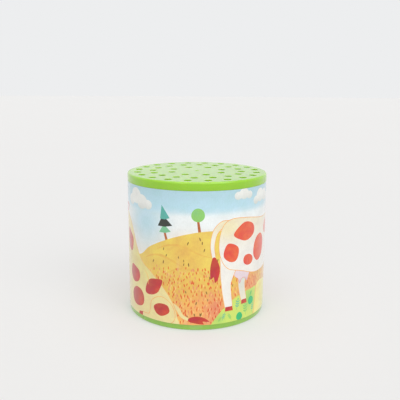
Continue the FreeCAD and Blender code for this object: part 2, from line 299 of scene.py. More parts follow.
@dataclass
class Artwork:
    """Countryside picture on the unrolled label, as shapes in painting order, in millimetres."""

    length: float
    low: float
    high: float
    seed: int = 11
    shapes: list[tuple[list[Point], Wash]] = field(default_factory=list)

    def add(self, outline: list[Point], wash: Wash | Ink) -> None:
        """Paints a shape over what is there, and again past the seam if it crosses it.

        Args:
            outline: Its edge.
            wash: Its colours.
        """
        wash = flat(wash) if isinstance(wash, Ink) else wash
        self.shapes.append((outline, wash))
        half = self.length / 2
        for shift in (-self.length, self.length):
            if any(abs(x) > half and abs(x + shift) < half for x, _ in outline):
                self.shapes.append(([(x + shift, z) for x, z in outline], wash))

    def ground_under(self, line: list[Point]) -> list[Point]:
        """Closed outline from a crest line down past the label's lower edge."""
        return line + [(line[-1][0], self.low - 4.0), (line[0][0], self.low - 4.0)]

    def paint(self) -> list[tuple[list[Point], Wash]]:
        """Paints the whole picture.

        Returns:
            Its shapes, each with its colours, the lowest first.
        """
        self.sky()
        self.clouds()
        self.trees()
        self.hills()
        self.strokes()
        self.fence()
        self.meadow()
        self.white_cow()
        self.cream_cow()
        return self.shapes

    def sky(self) -> None:
        """Blue that pales into haze near the ground."""
        half, low, high = self.length / 2 + 1.0, self.low - 1.0, self.high + 1.0
        sheet = [(-half, low), (half, low), (half, high), (-half, high)]
        stops = ((20.0, Ink.HAZE_WARM), (52.0, Ink.HAZE_WARM), (58.0, Ink.HAZE), (62.0, Ink.HAZE),
                 (66.5, Ink.SKY_LOW), (76.0, Ink.SKY))
        bluer = (Pool(-30.0, 58.0, 22.0, Ink.SKY_LOW, 0.9), Pool(-100.0, 60.0, 20.0, Ink.SKY_LOW, 0.7))
        self.add(sheet, Wash(stops, bluer))

    def cloud(self, x: float, z: float, puffs: Sequence[tuple[float, float, float]]) -> None:
        """A cloud of round puffs.

        Args:
            x: Its middle along the wrap.
            z: Its foot's height.
            puffs: Offset along the wrap, rise and radius of each puff.
        """
        wash = Wash(((z - 3.0, Ink.CLOUD_SHADE), (z + 1.5, Ink.CLOUD)))
        for offset, rise, radius in puffs:
            self.add(oval(x + offset, z + rise, radius * 1.12, radius), wash)

    def clouds(self) -> None:
        """Clouds all the way round."""
        self.cloud(-35.0, 66.5, ((-8.5, 1.5, 3.0), (-3.6, 4.2, 4.4), (2.0, 1.6, 4.0), (7.0, 0.6, 2.6)))
        self.cloud(27.0, 72.6, ((-3.8, 0.2, 2.2), (0.2, 1.0, 3.0), (4.2, 0.0, 2.1)))
        self.cloud(44.0, 69.4, ((-6.6, -0.6, 2.3), (-2.0, 1.6, 3.8), (4.2, 1.0, 3.4), (8.8, -0.4, 2.2)))
        self.cloud(-70.0, 67.5, ((-7.0, 0.0, 2.6), (-1.5, 2.4, 3.6), (4.6, 1.0, 3.0)))
        self.cloud(-104.0, 70.5, ((-4.4, 0.0, 2.0), (0.0, 1.2, 2.6), (4.2, 0.2, 1.9)))
        self.cloud(76.0, 70.0, ((-6.0, 0.0, 2.4), (-0.8, 1.8, 3.2), (5.2, 0.6, 2.7)))
        self.cloud(116.0, 67.0, ((-5.2, 0.0, 2.3), (0.6, 1.6, 3.2), (6.2, 0.0, 2.2)))

    def fir(self, x: float, foot: float, size: float, lean: float = 0.0) -> None:
        """A fir of three tiers on a short trunk.

        Args:
            x: Its trunk's place along the wrap.
            foot: Height of its lowest tier.
            size: A third of its height or so.
            lean: How far its tips lean to the right.
        """
        trunk = [(x + 0.2 * size, foot - size * 0.7), (x - 0.1 * size, foot + size * 0.5)]
        self.add(ribbon(trunk, (0.34 * size, 0.26 * size)), Ink.BARK)
        tiers = ((0.10, 1.40, 1.10, Ink.MINT), (0.85, 1.75, 1.45, Ink.PINE), (1.75, 1.15, 1.75, Ink.TEAL))
        for rise, width, height, ink in tiers:
            z = foot + rise * size
            left = (x - width * size * 0.56, z + 0.05 * size)
            right = (x + width * size * 0.56, z + 0.22 * size)
            tip = (x + lean * size * (rise + height) * 0.2, z + height * size)
            sag = (x, z + 0.02 * size)
            self.add([left, sag, right, tip], ink)

    def round_tree(self, x: float, foot: float, size: float) -> None:
        """A tree with a round crown.

        Args:
            x: Its crown's place along the wrap.
            foot: Height of its foot.
            size: Its crown's radius.
        """
        trunk = [(x + 0.25 * size, foot - size * 0.5), (x, foot + size * 1.3)]
        self.add(ribbon(trunk, (0.44 * size, 0.34 * size)), Ink.BARK)
        crown = foot + size * 2.1
        wash = Wash(((crown - size, Ink.LEAF), (crown + size, Ink.LEAF)),
                    (Pool(x - 0.3 * size, crown + 0.4 * size, size, Ink.MINT, 0.35),))
        self.add(oval(x, crown, size, size * 1.02, 0.0, 0.05), wash)

    def trees(self) -> None:
        """Firs and round trees behind the hill."""
        self.fir(-17.0, 52.8, 4.4, -0.6)
        self.round_tree(0.9, 56.2, 3.55)
        for x, foot, size in ((-112.0, 49.5, 3.4), (-105.5, 50.5, 4.3), (-86.0, 52.0, 3.0),
                              (118.0, 50.5, 3.8)):
            self.fir(x, foot, size, 0.3)
        for x, foot, size in ((-94.0, 52.5, 3.3), (-78.0, 51.5, 2.6), (110.0, 52.0, 3.0)):
            self.round_tree(x, foot, size)

    def crest(self) -> list[Point]:
        """Top of the hill.

        Returns:
            Its line all the way round.
        """
        edge = self.length / 2 + 2.0
        return curve_through([
            (-edge, 49.0), (-112.0, 49.5), (-96.0, 53.0), (-80.0, 51.5), (-60.0, 45.0), (-44.0, 37.5),
            (-34.0, 39.0), (-27.0, 44.5), (-15.0, 50.2), (-4.0, 53.6), (6.0, 55.0), (17.0, 54.6),
            (34.0, 52.0), (56.0, 54.0), (80.0, 50.0), (104.0, 52.0), (118.0, 50.5), (edge, 49.0)], False)

    def hills(self) -> None:
        """The straw-coloured hill, which turns to apricot towards the front."""
        stops = ((6.0, Ink.APRICOT), (24.0, Ink.STRAW_DEEP), (40.0, Ink.STRAW), (56.0, Ink.STRAW))
        pools = (Pool(10.0, 12.0, 15.0, Ink.CORAL, 0.85), Pool(33.0, 22.0, 13.0, Ink.CORAL, 0.9),
                 Pool(-6.0, 43.0, 14.0, Ink.STRAW_DEEP, 0.8), Pool(84.0, 14.0, 24.0, Ink.CORAL, 0.6),
                 Pool(-112.0, 12.0, 22.0, Ink.CORAL, 0.6), Pool(1.0, 14.0, 12.0, Ink.APRICOT, 0.7))
        self.add(self.ground_under(self.crest()), Wash(stops, pools))

    def strokes(self) -> None:
        """Dabs of ripe grain: thick on the field in front, thin on the hill."""
        rng = random.Random(self.seed)
        crest = np.array(self.crest())
        for rise, start, end in ((44.0, -22.0, 8.0), (37.5, -31.0, -2.0), (31.5, -16.0, 12.0),
                                 (47.0, 20.0, 60.0), (40.0, 80.0, 122.0), (33.0, 90.0, 130.0),
                                 (44.0, -124.0, -96.0), (36.0, -118.0, -92.0)):
            furrow = [(start + (end - start) * k / 5, rise + 3.4 * math.sin(0.9 * k)) for k in range(6)]
            self.add(ribbon(furrow, (0.2, 0.9, 1.3, 1.1, 0.7, 0.2)), Ink.STRAW_DEEP)
        pitch, rows = 2.1, 25
        across = round(self.length / pitch)
        for row in range(rows):
            for column in range(across):
                x = -self.length / 2 + (column + 0.5 * (row % 2) + rng.uniform(0.1, 0.9)) * pitch
                z = self.low + 0.8 + (row + rng.uniform(0.1, 0.9)) * pitch
                chance, size = rng.random(), rng.uniform(0.8, 1.25)
                turn, pick = rng.uniform(-22, 22), rng.random()
                thick = 1.0 - soft_step(30.0, 39.0, z + 0.06 * abs(x))
                if chance > 0.10 + 0.88 * thick or z > np.interp(x, crest[:, 0], crest[:, 1]) - 2.0:
                    continue
                sparse = thick < 0.15
                ink = Ink.UMBER if sparse or pick > 0.95 else Ink.RUST if pick > 0.28 else Ink.CORAL
                self.add(set_down(DAB_SHAPE, x, z, 0.62 * size, 2.0 * size, turn), ink)
                if thick > 0.6 and chance < 0.45:
                    self.add(set_down(DAB_SHAPE, x + 0.9, z + 0.5, 0.5 * size, 1.7 * size, turn), Ink.PEACH)

    def fence(self) -> None:
        """A rail fence along the hill at the back."""
        posts = [(-back, 40.0 + 1.2 * math.sin(back * 0.2)) for back in (124.0, 116.5, 109.0, 101.5, 94.0)]
        for rise in (1.4, 4.0):
            rail = [(x, z + rise) for x, z in posts]
            rail = [(rail[0][0] - 1.6, rail[0][1]), *rail, (rail[-1][0] + 2.0, rail[-1][1])]
            self.add(ribbon(rail, (0.9, 0.9)), Ink.BARK)
        post = ((-0.6, -1.6), (0.6, -1.7), (0.55, 5.6), (0.0, 6.3), (-0.6, 5.5))
        for x, z in posts:
            self.add([(x + u, z + v) for u, v in post], Ink.UMBER)

    def sprig(self, x: float, z: float, size: float, turn: float, ink: Ink) -> None:
        """A small plant: a stalk with paired leaves.

        Args:
            x: Its root's place along the wrap.
            z: Its root's height.
            size: Length of its stalk.
            turn: The way it grows, in degrees anticlockwise from the right.
            ink: Its colour.
        """
        nodes = [set_down([(share, 0.0)], x, z, size, size, turn)[0] for share in (0.3, 0.55, 0.8, 1.0)]
        self.add(ribbon([(x, z), nodes[-1]], (0.30, 0.22)), ink)
        for node in nodes[:-1]:
            for side in (-48, 48):
                self.add(set_down(LEAF_SHAPE, *node, size * 0.36, size * 0.17, turn + side), ink)
        self.add(set_down(LEAF_SHAPE, *nodes[-1], size * 0.30, size * 0.16, turn), ink)

    def meadow(self) -> None:
        """Green bank with plants at the lower right, and the lemon-coloured path beside it."""
        path = [(34.0, 0.0), (36.0, 10.0), (38.4, 17.6), (43.6, 21.4), (54.0, 20.0), (66.0, 18.0),
                (80.0, 9.0), (86.0, 0.0)]
        self.add(self.ground_under(curve_through(path, False)),
                 Wash(((4.0, Ink.LEMON), (22.0, Ink.LEMON)), (Pool(60.0, 10.0, 18.0, Ink.LIME, 0.5),)))
        crest = [(6.5, 1.0), (10.5, 6.5), (15.5, 12.0), (22.0, 16.4), (29.5, 18.8), (39.5, 19.6)]
        bank = curve_through(crest, False) + [(38.2, 10.0), (36.8, 1.0)]
        pools = (Pool(32.0, 14.0, 9.0, Ink.LEAF, 0.85), Pool(12.5, 6.0, 6.0, Ink.LEAF, 0.5),
                 Pool(26.0, 12.0, 6.0, Ink.LIME, 0.6))
        self.add(bank, Wash(((4.0, Ink.LIME), (20.0, Ink.LIME)), pools))
        self.add(ribbon([(39.6, 19.4), (38.4, 10.0), (37.0, 2.0)], (0.7, 0.5)), Ink.APRICOT)
        for plant in ((23.5, 9.5, 5.2, 82.0, Ink.MINT), (30.2, 5.0, 6.0, 96.0, Ink.LEAF),
                      (14.5, 5.0, 3.6, 70.0, Ink.MINT), (20.0, 4.6, 3.4, 118.0, Ink.LEAF),
                      (33.5, 15.0, 2.6, 60.0, Ink.LEAF_DEEP), (17.5, 9.8, 3.0, 100.0, Ink.LEAF),
                      (12.2, 4.2, 2.6, 60.0, Ink.LEAF), (27.8, 11.6, 3.2, 104.0, Ink.LEAF),
                      (35.6, 5.2, 4.2, 80.0, Ink.MINT)):
            self.sprig(*plant)
        for x, z, size in ((34.4, 12.4, 2.3), (25.4, 5.4, 2.2)):
            self.add(oval(x, z, size, size * 1.08, 12.0, 0.12), Ink.LEAF_DEEP)
        far = [(-125.0, 12.0), (-112.0, 17.0), (-100.0, 18.0), (-90.0, 12.0), (-84.0, 0.0)]
        far_bank = [(-self.length / 2 - 14.0, 0.0), (-self.length / 2 - 6.0, 6.0), *far]
        self.add(self.ground_under(curve_through(far_bank, False)),
                 Wash(((4.0, Ink.LEAF), (19.0, Ink.LIME))))
        for x, z, size in ((-118.0, 6.0, 5.0), (-108.0, 8.0, 6.0), (-98.0, 5.5, 5.0), (-124.0, 5.0, 3.6),
                           (120.0, 4.5, 3.6), (-90.5, 4.0, 3.4)):
            self.sprig(x, z, size, 90.0 + x % 17 - 8.0, Ink.LEAF_DEEP)
        for x, z in ((-113.5, 12.5), (-103.0, 12.0), (-95.0, 11.0)):
            self.flower(x, z, 1.5)

    def flower(self, x: float, z: float, size: float) -> None:
        """A small flower.

        Args:
            x: Its middle along the wrap.
            z: Its middle's height.
            size: About its radius.
        """
        petals, reach, half = 5, size * 0.62, size * 0.5
        for k in range(petals):
            a = TURN * k / petals + 0.3
            self.add(oval(x + reach * math.cos(a), z + reach * math.sin(a), half, half), Ink.WHITE)
        self.add(oval(x, z, size * 0.38, size * 0.38), Ink.STRAW_DEEP)

    def patch(self, outline: list[Point], deep: float = 0.5, fresh: bool = False) -> None:
        """A red patch of coat with a softly different middle.

        Args:
            outline: Its edge.
            deep: How much deeper its middle is.
            fresh: Vermilion and not brick.
        """
        base, middle, side = ((Ink.VERMILION, Ink.VERMILION_DEEP, Ink.VERMILION) if fresh else
                              (Ink.BRICK, Ink.BRICK_DEEP, Ink.BRICK_LIGHT))
        x = sum(p[0] for p in outline) / len(outline)
        z = sum(p[1] for p in outline) / len(outline)
        reach = max(math.dist(p, (x, z)) for p in outline)
        pools = (Pool(x - 0.2 * reach, z + 0.1 * reach, 0.95 * reach, middle, deep),
                 Pool(x + 0.5 * reach, z - 0.3 * reach, 0.7 * reach, side, 0.8))
        self.add(outline, Wash(((0.0, base),), pools))

    def blotches(self, spots: Iterable[Sequence[float]], fresh: bool = False) -> None:
        """Patches that each have an irregular soft outline of their own.

        Args:
            spots: Place along the wrap, height, half width, half height and turn in degrees of each.
            fresh: Vermilion and not brick.
        """
        count = 8
        for x, z, wide, tall, turn in spots:
            rng = random.Random(round(x * 7 + z * 13))
            shape = []
            for k in range(count):
                a, reach = TURN * k / count, rng.uniform(0.84, 1.12)
                shape.append((reach * math.cos(a), reach * math.sin(a)))
            self.patch(curve_through(set_down(shape, x, z, wide, tall, turn), True), 0.5, fresh)

    def outlined(self, outline: list[Point], wash: Wash | Ink, ink: Ink, width: float = 0.35) -> None:
        """A shape with a thin painted edge, made by a slightly larger one under it.

        Args:
            outline: Its own edge.
            wash: Its colours.
            ink: The painted edge's colour.
            width: The painted edge's width.
        """
        side = 1.0 if turns_left(outline) else -1.0
        count = len(outline)
        larger = []
        for k, (x, z) in enumerate(outline):
            (ax, az), (bx, bz) = outline[k - 1], outline[(k + 1) % count]
            run = math.hypot(bx - ax, bz - az) or 1.0
            larger.append((x + side * (bz - az) / run * width, z - side * (bx - ax) / run * width))
        self.add(larger, ink)
        self.add(outline, wash)

    def leg(self, joints: Sequence[Point], widths: Sequence[float], coat: Wash | Ink) -> None:
        """A cow's leg from the body down to its hoof.

        Args:
            joints: The points that its middle passes through.
            widths: Its width at each of them.
            coat: Its colours.
        """
        self.outlined(ribbon(joints, widths), coat, Ink.APRICOT)
        x, z = joints[-1]
        left, right, low, high = x - widths[-1] / 2, x + widths[-1] / 2, z - 1.6, z + 0.9
        self.patch([(left - 0.3, low), (right + 0.5, low), (right, high), (left, high)], 0.3)

    def white_cow(self) -> None:
        """White cow with brick-red patches, standing on the bank and facing right."""
        coat = Wash(((22.0, Ink.MILK), (40.0, Ink.MILK), (60.0, Ink.MILK_WARM)),
                    (Pool(18.0, 56.0, 12.0, Ink.CREAM_LIGHT, 0.5),))
        shade = Wash(((10.0, Ink.MILK_WARM), (32.0, Ink.CLOUD_SHADE)))
        tail = [(20.0, 57.6), (14.6, 58.4), (10.2, 54.4), (8.6, 47.0), (9.6, 39.6)]
        self.outlined(ribbon(tail, (3.6, 3.2, 2.4, 1.9, 1.5)), coat, Ink.APRICOT)
        tuft = [(8.9, 40.6), (10.5, 40.4), (12.6, 35.4), (12.4, 30.4), (10.2, 26.6), (9.4, 30.0), (7.8, 28.6),
                (7.4, 33.6), (7.9, 37.6)]
        self.patch(curve_through(tuft, True), 0.6)
        self.leg([(28.0, 35.0), (26.6, 24.0), (28.6, 13.6)], (9.0, 4.4, 3.6), shade)
        self.leg([(66.0, 36.0), (67.6, 24.0), (66.6, 14.0)], (8.0, 4.2, 3.4), shade)
        udder = [(21.4, 34.0), (21.6, 29.4), (24.0, 27.2), (25.2, 24.4), (26.6, 27.0), (29.0, 27.0),
                 (30.4, 24.8), (31.8, 27.8), (33.0, 31.0), (31.0, 35.0)]
        pink = Wash(((24.0, Ink.LILAC_DEEP), (28.0, Ink.LILAC)))
        self.outlined(curve_through(udder, True), pink, Ink.CORAL, 0.25)
        self.leg([(19.0, 39.0), (16.6, 26.0), (18.4, 11.4)], (13.0, 5.4, 4.2), coat)
        self.leg([(73.0, 38.0), (74.6, 24.0), (73.6, 11.6)], (9.0, 4.8, 3.8), coat)
        body = [(15.0, 57.8), (12.6, 51.0), (12.8, 42.0), (17.0, 34.4), (26.0, 31.6), (38.0, 28.2),
                (52.0, 28.6), (64.0, 31.6), (73.0, 33.6), (79.0, 41.0), (84.0, 50.0), (88.0, 56.6),
                (82.0, 62.6), (74.0, 61.0), (62.0, 58.8), (46.0, 58.0), (30.0, 60.2), (20.0, 60.6)]
        self.outlined(curve_through(body, True), coat, Ink.APRICOT)
        self.blotches(((29.0, 53.0, 8.0, 5.0, 8.0), (19.6, 42.6, 4.6, 5.6, 25.0),
                       (42.0, 42.0, 6.4, 7.4, -12.0), (31.5, 36.6, 4.4, 3.2, -10.0),
                       (56.0, 51.6, 6.6, 4.6, 12.0), (60.0, 36.6, 5.4, 4.0, -8.0),
                       (73.5, 50.0, 4.6, 6.6, -20.0)), True)
        self.profile_head(93.0, 57.0, 1.0, coat)

    def profile_head(self, x: float, z: float, side: float, coat: Wash) -> None:
        """Plain cow's head in profile.

        Args:
            x: Its middle along the wrap.
            z: Its middle's height.
            side: 1 to look right, -1 to look left.
            coat: Its colour.
        """
        def faced(points: Sequence[Point]) -> list[Point]:
            """Points turned to the side it looks to."""
            return [(x + side * u, z + v) for u, v in points]

        horn = faced([(-3.0, 7.0), (-2.6, 10.6), (-0.4, 13.4), (0.6, 10.4), (0.4, 7.4)])
        self.outlined(curve_through(horn, True), Ink.STRAW_DEEP, Ink.RUST, 0.15)
        head = faced([(-9.0, 4.6), (-4.0, 8.4), (2.4, 7.0), (8.4, 1.6), (13.4, -4.0), (12.6, -8.0),
                      (7.6, -9.0), (1.0, -6.4), (-5.0, -5.6), (-9.6, -2.0)])
        self.outlined(curve_through(head, True), coat, Ink.APRICOT)
        muzzle = faced([(9.0, 0.4), (13.2, -4.2), (12.4, -7.6), (8.0, -8.4), (6.8, -4.6)])
        self.add(curve_through(muzzle, True), Ink.LILAC)
        self.add(oval(x + side * 11.4, z - 4.6, 0.6, 0.9), Ink.LILAC_DEEP)
        self.add(ribbon(faced([(13.1, -6.9), (10.8, -7.3), (8.6, -6.5)]), (0.25, 0.4, 0.3)), Ink.LILAC_DEEP)
        self.add(oval(x + side * 2.6, z + 2.2, 0.75, 1.0), Ink.INK_GREY)
        self.add(oval(x + side * 2.85, z + 2.55, 0.22, 0.28), Ink.WHITE)
        ear = faced([(-3.4, 4.2), (-7.4, 7.6), (-12.0, 6.8), (-10.6, 3.2), (-6.4, 1.8)])
        self.patch(curve_through(ear, True), 0.2)
        inside = faced([(-5.6, 4.4), (-8.2, 6.2), (-10.6, 5.8), (-9.0, 3.8)])
        self.add(curve_through(inside, True), Ink.LILAC)

    def cream_cow(self) -> None:
        """Cream cow with brick-red patches, sitting in the field and facing left."""
        stops = ((4.0, Ink.CREAM_LIGHT), (18.0, Ink.CREAM_LIGHT), (34.0, Ink.CREAM), (50.0, Ink.CREAM_LIGHT))
        coat = Wash(stops, (Pool(-38.0, 27.0, 14.0, Ink.CREAM, 0.9),))
        self.outlined(ribbon([(-93.0, 7.0), (-84.0, 6.0), (-74.0, 10.0)], (4.0, 5.0, 9.0)), coat, Ink.APRICOT)
        self.patch([(-95.8, 4.9), (-92.4, 4.7), (-92.0, 9.3), (-95.6, 9.1)], 0.3)
        tail = [(-17.0, 15.0), (-10.6, 12.6), (-7.4, 8.0), (-3.0, 6.0)]
        self.outlined(ribbon(tail, (3.0, 2.4, 1.9, 1.5)), coat, Ink.APRICOT, 0.25)
        tuft = [(-4.0, 6.9), (-0.6, 8.2), (3.8, 7.6), (7.4, 5.0), (3.6, 5.2), (4.4, 3.6), (-0.4, 4.2),
                (-3.8, 5.2)]
        self.patch(curve_through(tuft, True), 0.6)
        body = [(-11.0, 1.0), (-10.4, 8.0), (-13.4, 16.0), (-19.0, 23.6), (-26.0, 30.0), (-33.0, 34.6),
                (-38.0, 41.0), (-42.0, 49.0), (-47.0, 56.0), (-55.0, 60.0), (-64.0, 57.0), (-69.0, 47.0),
                (-74.0, 34.0), (-80.0, 20.0), (-82.0, 9.0), (-74.0, 3.0), (-58.0, 1.4), (-36.0, 0.8)]
        self.outlined(curve_through(body, True), coat, Ink.APRICOT)
        thigh = [(-27.0, 8.4), (-25.6, 14.4), (-19.4, 17.4), (-13.6, 14.0), (-11.4, 7.6), (-13.8, 3.4),
                 (-22.0, 2.3), (-31.0, 2.2), (-34.4, 3.0), (-34.0, 5.2), (-28.4, 5.7)]
        self.outlined(curve_through(thigh, True), coat, Ink.APRICOT, 0.3)
        self.patch([(-37.4, 2.4), (-33.6, 2.0), (-33.2, 5.6), (-36.6, 5.0)], 0.2)
        self.blotches(((-24.6, 22.4, 6.6, 4.2, 38.0), (-19.6, 10.4, 4.6, 3.9, -8.0),
                       (-38.0, 13.4, 6.2, 5.4, 6.0), (-41.0, 26.0, 6.0, 4.8, -14.0),
                       (-47.5, 44.0, 4.6, 6.4, 22.0), (-60.0, 19.0, 7.0, 5.2, 10.0),
                       (-73.0, 24.0, 4.6, 5.4, -12.0)))
        for crease in ([(-77.0, 12.6), (-72.0, 8.2), (-64.0, 6.6)],
                       [(-31.0, 30.6), (-28.6, 27.0), (-28.4, 22.6)],
                       [(-52.0, 31.0), (-49.4, 25.6), (-49.8, 19.4)]):
            self.add(ribbon(crease, (0.12, 0.5, 0.12)), Ink.APRICOT)
        self.profile_head(-62.0, 57.0, -1.0, coat)


# ------------------------------------------------------------------------------------ node trees
class Graph:
    """Short-hand for adding nodes to a tree and joining them."""

    def __init__(self, tree: bpy.types.NodeTree) -> None:
        """Takes the tree to work in."""
        self.tree = tree

    def add(self, kind: str, inputs: dict[str | int, object] | None = None,
            **settings: object) -> bpy.types.Node:
        """Adds a node.

        Args:
            kind: Its type name.
            inputs: Values or sockets for its inputs, by name or place.
            settings: Its own properties.

        Returns:
            The node.
        """
        node = self.tree.nodes.new(kind)
        for key, value in settings.items():
            setattr(node, key, value)
        self.set(node, inputs or {})
        return node

    def set(self, node: bpy.types.Node, inputs: dict[str | int, object]) -> None:
        """Gives a node's inputs their values or sockets."""
        for key, value in inputs.items():
            self.feed(node.inputs[key], value)

    def feed(self, socket: bpy.types.NodeSocket, value: object) -> None:
        """Sets an input.

        Args:
            socket: The input.
            value: Its value, or another node's output to join to it.
        """
        if isinstance(value, bpy.types.NodeSocket):
            self.tree.links.new(value, socket)
        else:
            socket.default_value = value

    def noise(self, vector: object, scale: object, detail: float = 2.0, roughness: float = 0.5,
              distortion: float = 0.0) -> bpy.types.NodeSocket:
        """Noise value from 0 to 1."""
        return self.add("ShaderNodeTexNoise", {"Vector": vector, "Scale": scale, "Detail": detail,
                                               "Roughness": roughness, "Distortion": distortion}).outputs[0]

    def maths(self, operation: str, a: object, b: object = 0.0, clamp: bool = False) -> bpy.types.NodeSocket:
        """Result of a sum on one or two values."""
        return self.add("ShaderNodeMath", {0: a, 1: b}, operation=operation, use_clamp=clamp).outputs[0]

    def spread(self, value: object, low: float, high: float, to_low: object = 0.0,
               to_high: object = 1.0) -> bpy.types.NodeSocket:
        """Value stretched from one range to another, held inside it."""
        return self.add("ShaderNodeMapRange", {"Value": value, "From Min": low, "From Max": high,
                                               "To Min": to_low, "To Max": to_high}).outputs[0]

    def blend(self, share: object, a: object, b: object) -> bpy.types.NodeSocket:
        """Colour between two others."""
        return self.add("ShaderNodeMix", {0: share, 6: a, 7: b}, data_type="RGBA").outputs[2]

    def stretched(self, vector: object, x: float, y: float, z: float) -> bpy.types.NodeSocket:
        """Coordinates scaled by a different amount on each axis."""
        return self.add("ShaderNodeMapping", {"Vector": vector, "Scale": (x, y, z)}).outputs[0]


SOCKETS = {"value": "NodeSocketFloat", "colour": "NodeSocketColor", "vector": "NodeSocketVector",
           "whole": "NodeSocketInt", "shape": "NodeSocketGeometry", "object": "NodeSocketObject",
           "material": "NodeSocketMaterial"}


def with_alpha(colour: Colour) -> tuple[float, float, float, float]:
    """Colour with full cover."""
    return (*colour, 1.0)


class Effect:
    """A shader node group that several finishes share."""

    name: str = ""
    inputs: dict[str, tuple[str, object]] = {}
    outputs: dict[str, str] = {}

    @classmethod
    def tree(cls) -> bpy.types.NodeTree:
        """The group, built the first time it is asked for.

        Returns:
            The node group.
        """
        made = bpy.data.node_groups.get(cls.name)
        if made:
            return made
        tree = bpy.data.node_groups.new(cls.name, "ShaderNodeTree")
        for label, (kind, value) in cls.inputs.items():
            socket = tree.interface.new_socket(label, in_out="INPUT", socket_type=SOCKETS[kind])
            if value is not None:
                socket.default_value = value
        for label, kind in cls.outputs.items():
            tree.interface.new_socket(label, in_out="OUTPUT", socket_type=SOCKETS[kind])
        graph = Graph(tree)
        cls.build(graph, graph.add("NodeGroupInput"), graph.add("NodeGroupOutput"))
        return tree

    @classmethod
    def build(cls, graph: Graph, given: bpy.types.Node, result: bpy.types.Node) -> None:
        """Fills the group; each effect has its own."""
        raise NotImplementedError

    @classmethod
    def use(cls, graph: Graph, inputs: dict[str, object]) -> bpy.types.Node:
        """Places the group in a material with values of its own.

        Args:
            graph: The material's tree.
            inputs: Values or sockets for its inputs, by name.

        Returns:
            The group's node.
        """
        node = graph.add("ShaderNodeGroup", node_tree=cls.tree())
        graph.set(node, inputs)
        return node


class ToneDrift(Effect):
    """Slow and fine unevenness of colour."""

    name = "tone drift"
    inputs = {"Vector": ("vector", None), "Colour": ("colour", (1, 1, 1, 1)),
              "Other Colour": ("colour", (1, 1, 1, 1)), "Scale": ("value", 40.0), "Amount": ("value", 0.5),
              "Speckle": ("value", 0.05)}
    outputs = {"Colour": "colour"}

    @classmethod
    def build(cls, graph: Graph, given: bpy.types.Node, result: bpy.types.Node) -> None:
        """Two scales of noise between the colours, then a fine speckle.

        Args:
            graph: The group's tree.
            given: Its inputs.
            result: Its outputs.
        """
        slow = graph.noise(given.outputs["Vector"], given.outputs["Scale"], 4.0, 0.55)
        share = graph.maths("MULTIPLY", graph.spread(slow, 0.3, 0.7), given.outputs["Amount"])
        tone = graph.blend(share, given.outputs["Colour"], given.outputs["Other Colour"])
        finer = graph.maths("MULTIPLY", given.outputs["Scale"], 60.0)
        fine = graph.noise(given.outputs["Vector"], finer, 1.0, 0.5)
        lift = graph.maths("MULTIPLY", graph.spread(fine, 0.2, 0.8, -1.0, 1.0), given.outputs["Speckle"])
        bright = graph.add("ShaderNodeHueSaturation", {"Value": graph.maths("ADD", lift, 1.0), "Color": tone})
        graph.feed(result.inputs["Colour"], bright.outputs[0])


class FineGrain(Effect):
    """Height of a fine grain over a slow waviness."""

    name = "fine grain"
    inputs = {"Vector": ("vector", None), "Grain Scale": ("value", 3000.0), "Wave Scale": ("value", 60.0),
              "Wave": ("value", 0.5)}
    outputs = {"Height": "value"}

    @classmethod
    def build(cls, graph: Graph, given: bpy.types.Node, result: bpy.types.Node) -> None:
        """Adds a share of the wave to the grain.

        Args:
            graph: The group's tree.
            given: Its inputs.
            result: Its outputs.
        """
        grain = graph.noise(given.outputs["Vector"], given.outputs["Grain Scale"], 3.0, 0.6)
        wave = graph.noise(given.outputs["Vector"], given.outputs["Wave Scale"], 1.0, 0.4)
        share = graph.maths("MULTIPLY", wave, given.outputs["Wave"])
        graph.feed(result.inputs["Height"], graph.maths("ADD", grain, share))


class HandlingMarks(Effect):
    """Rubbed places, hairline scratches and a little dust."""

    name = "handling marks"
    inputs = {"Vector": ("vector", None), "Roughness": ("value", 0.3), "Rubbing": ("value", 0.1),
              "Scratches": ("value", 0.3)}
    outputs = {"Roughness": "value", "Scratch": "value", "Dust": "value"}

    @classmethod
    def build(cls, graph: Graph, given: bpy.types.Node, result: bpy.types.Node) -> None:
        """Roughness from rubbing and scratches, and dust that lies on faces that look up.

        Args:
            graph: The group's tree.
            given: Its inputs.
            result: Its outputs.
        """
        vector = given.outputs["Vector"]
        rubbed = graph.spread(graph.noise(vector, 55.0, 3.0, 0.6), 0.35, 0.7)
        lines = []
        for turn in (0.5, 2.1):
            skewed = graph.add("ShaderNodeMapping", {"Vector": vector, "Rotation": (0.3, turn, turn),
                                                     "Scale": (26.0, 900.0, 40.0)}).outputs[0]
            lines.append(graph.spread(graph.noise(skewed, 1.0, 1.0, 0.4, 0.3), 0.70, 0.76))
        scratch = graph.maths("MAXIMUM", *lines)
        scratch = graph.maths("MULTIPLY", scratch, graph.spread(graph.noise(vector, 90.0, 1.0), 0.5, 0.62))
        scratch = graph.maths("MULTIPLY", scratch, given.outputs["Scratches"])
        rough = graph.maths("ADD", given.outputs["Roughness"],
                            graph.maths("MULTIPLY", rubbed, given.outputs["Rubbing"]))
        rough = graph.maths("ADD", rough, graph.maths("MULTIPLY", scratch, 0.35), True)
        facing = graph.add("ShaderNodeNewGeometry").outputs["Normal"]
        up = graph.add("ShaderNodeSeparateXYZ", {0: facing}).outputs[2]
        specks = graph.spread(graph.noise(vector, 2400.0, 1.0), 0.70, 0.76)
        dust = graph.maths("MULTIPLY", specks, graph.spread(up, 0.5, 1.0))
        graph.set(result, {"Roughness": rough, "Scratch": scratch, "Dust": dust})


# ------------------------------------------------------------------------------------ finishes
# Colours that lie over every finish of their kind.
DUST = (0.62, 0.60, 0.56, 1.0)
SCUFFED_PAPER = (0.86, 0.86, 0.84, 1.0)


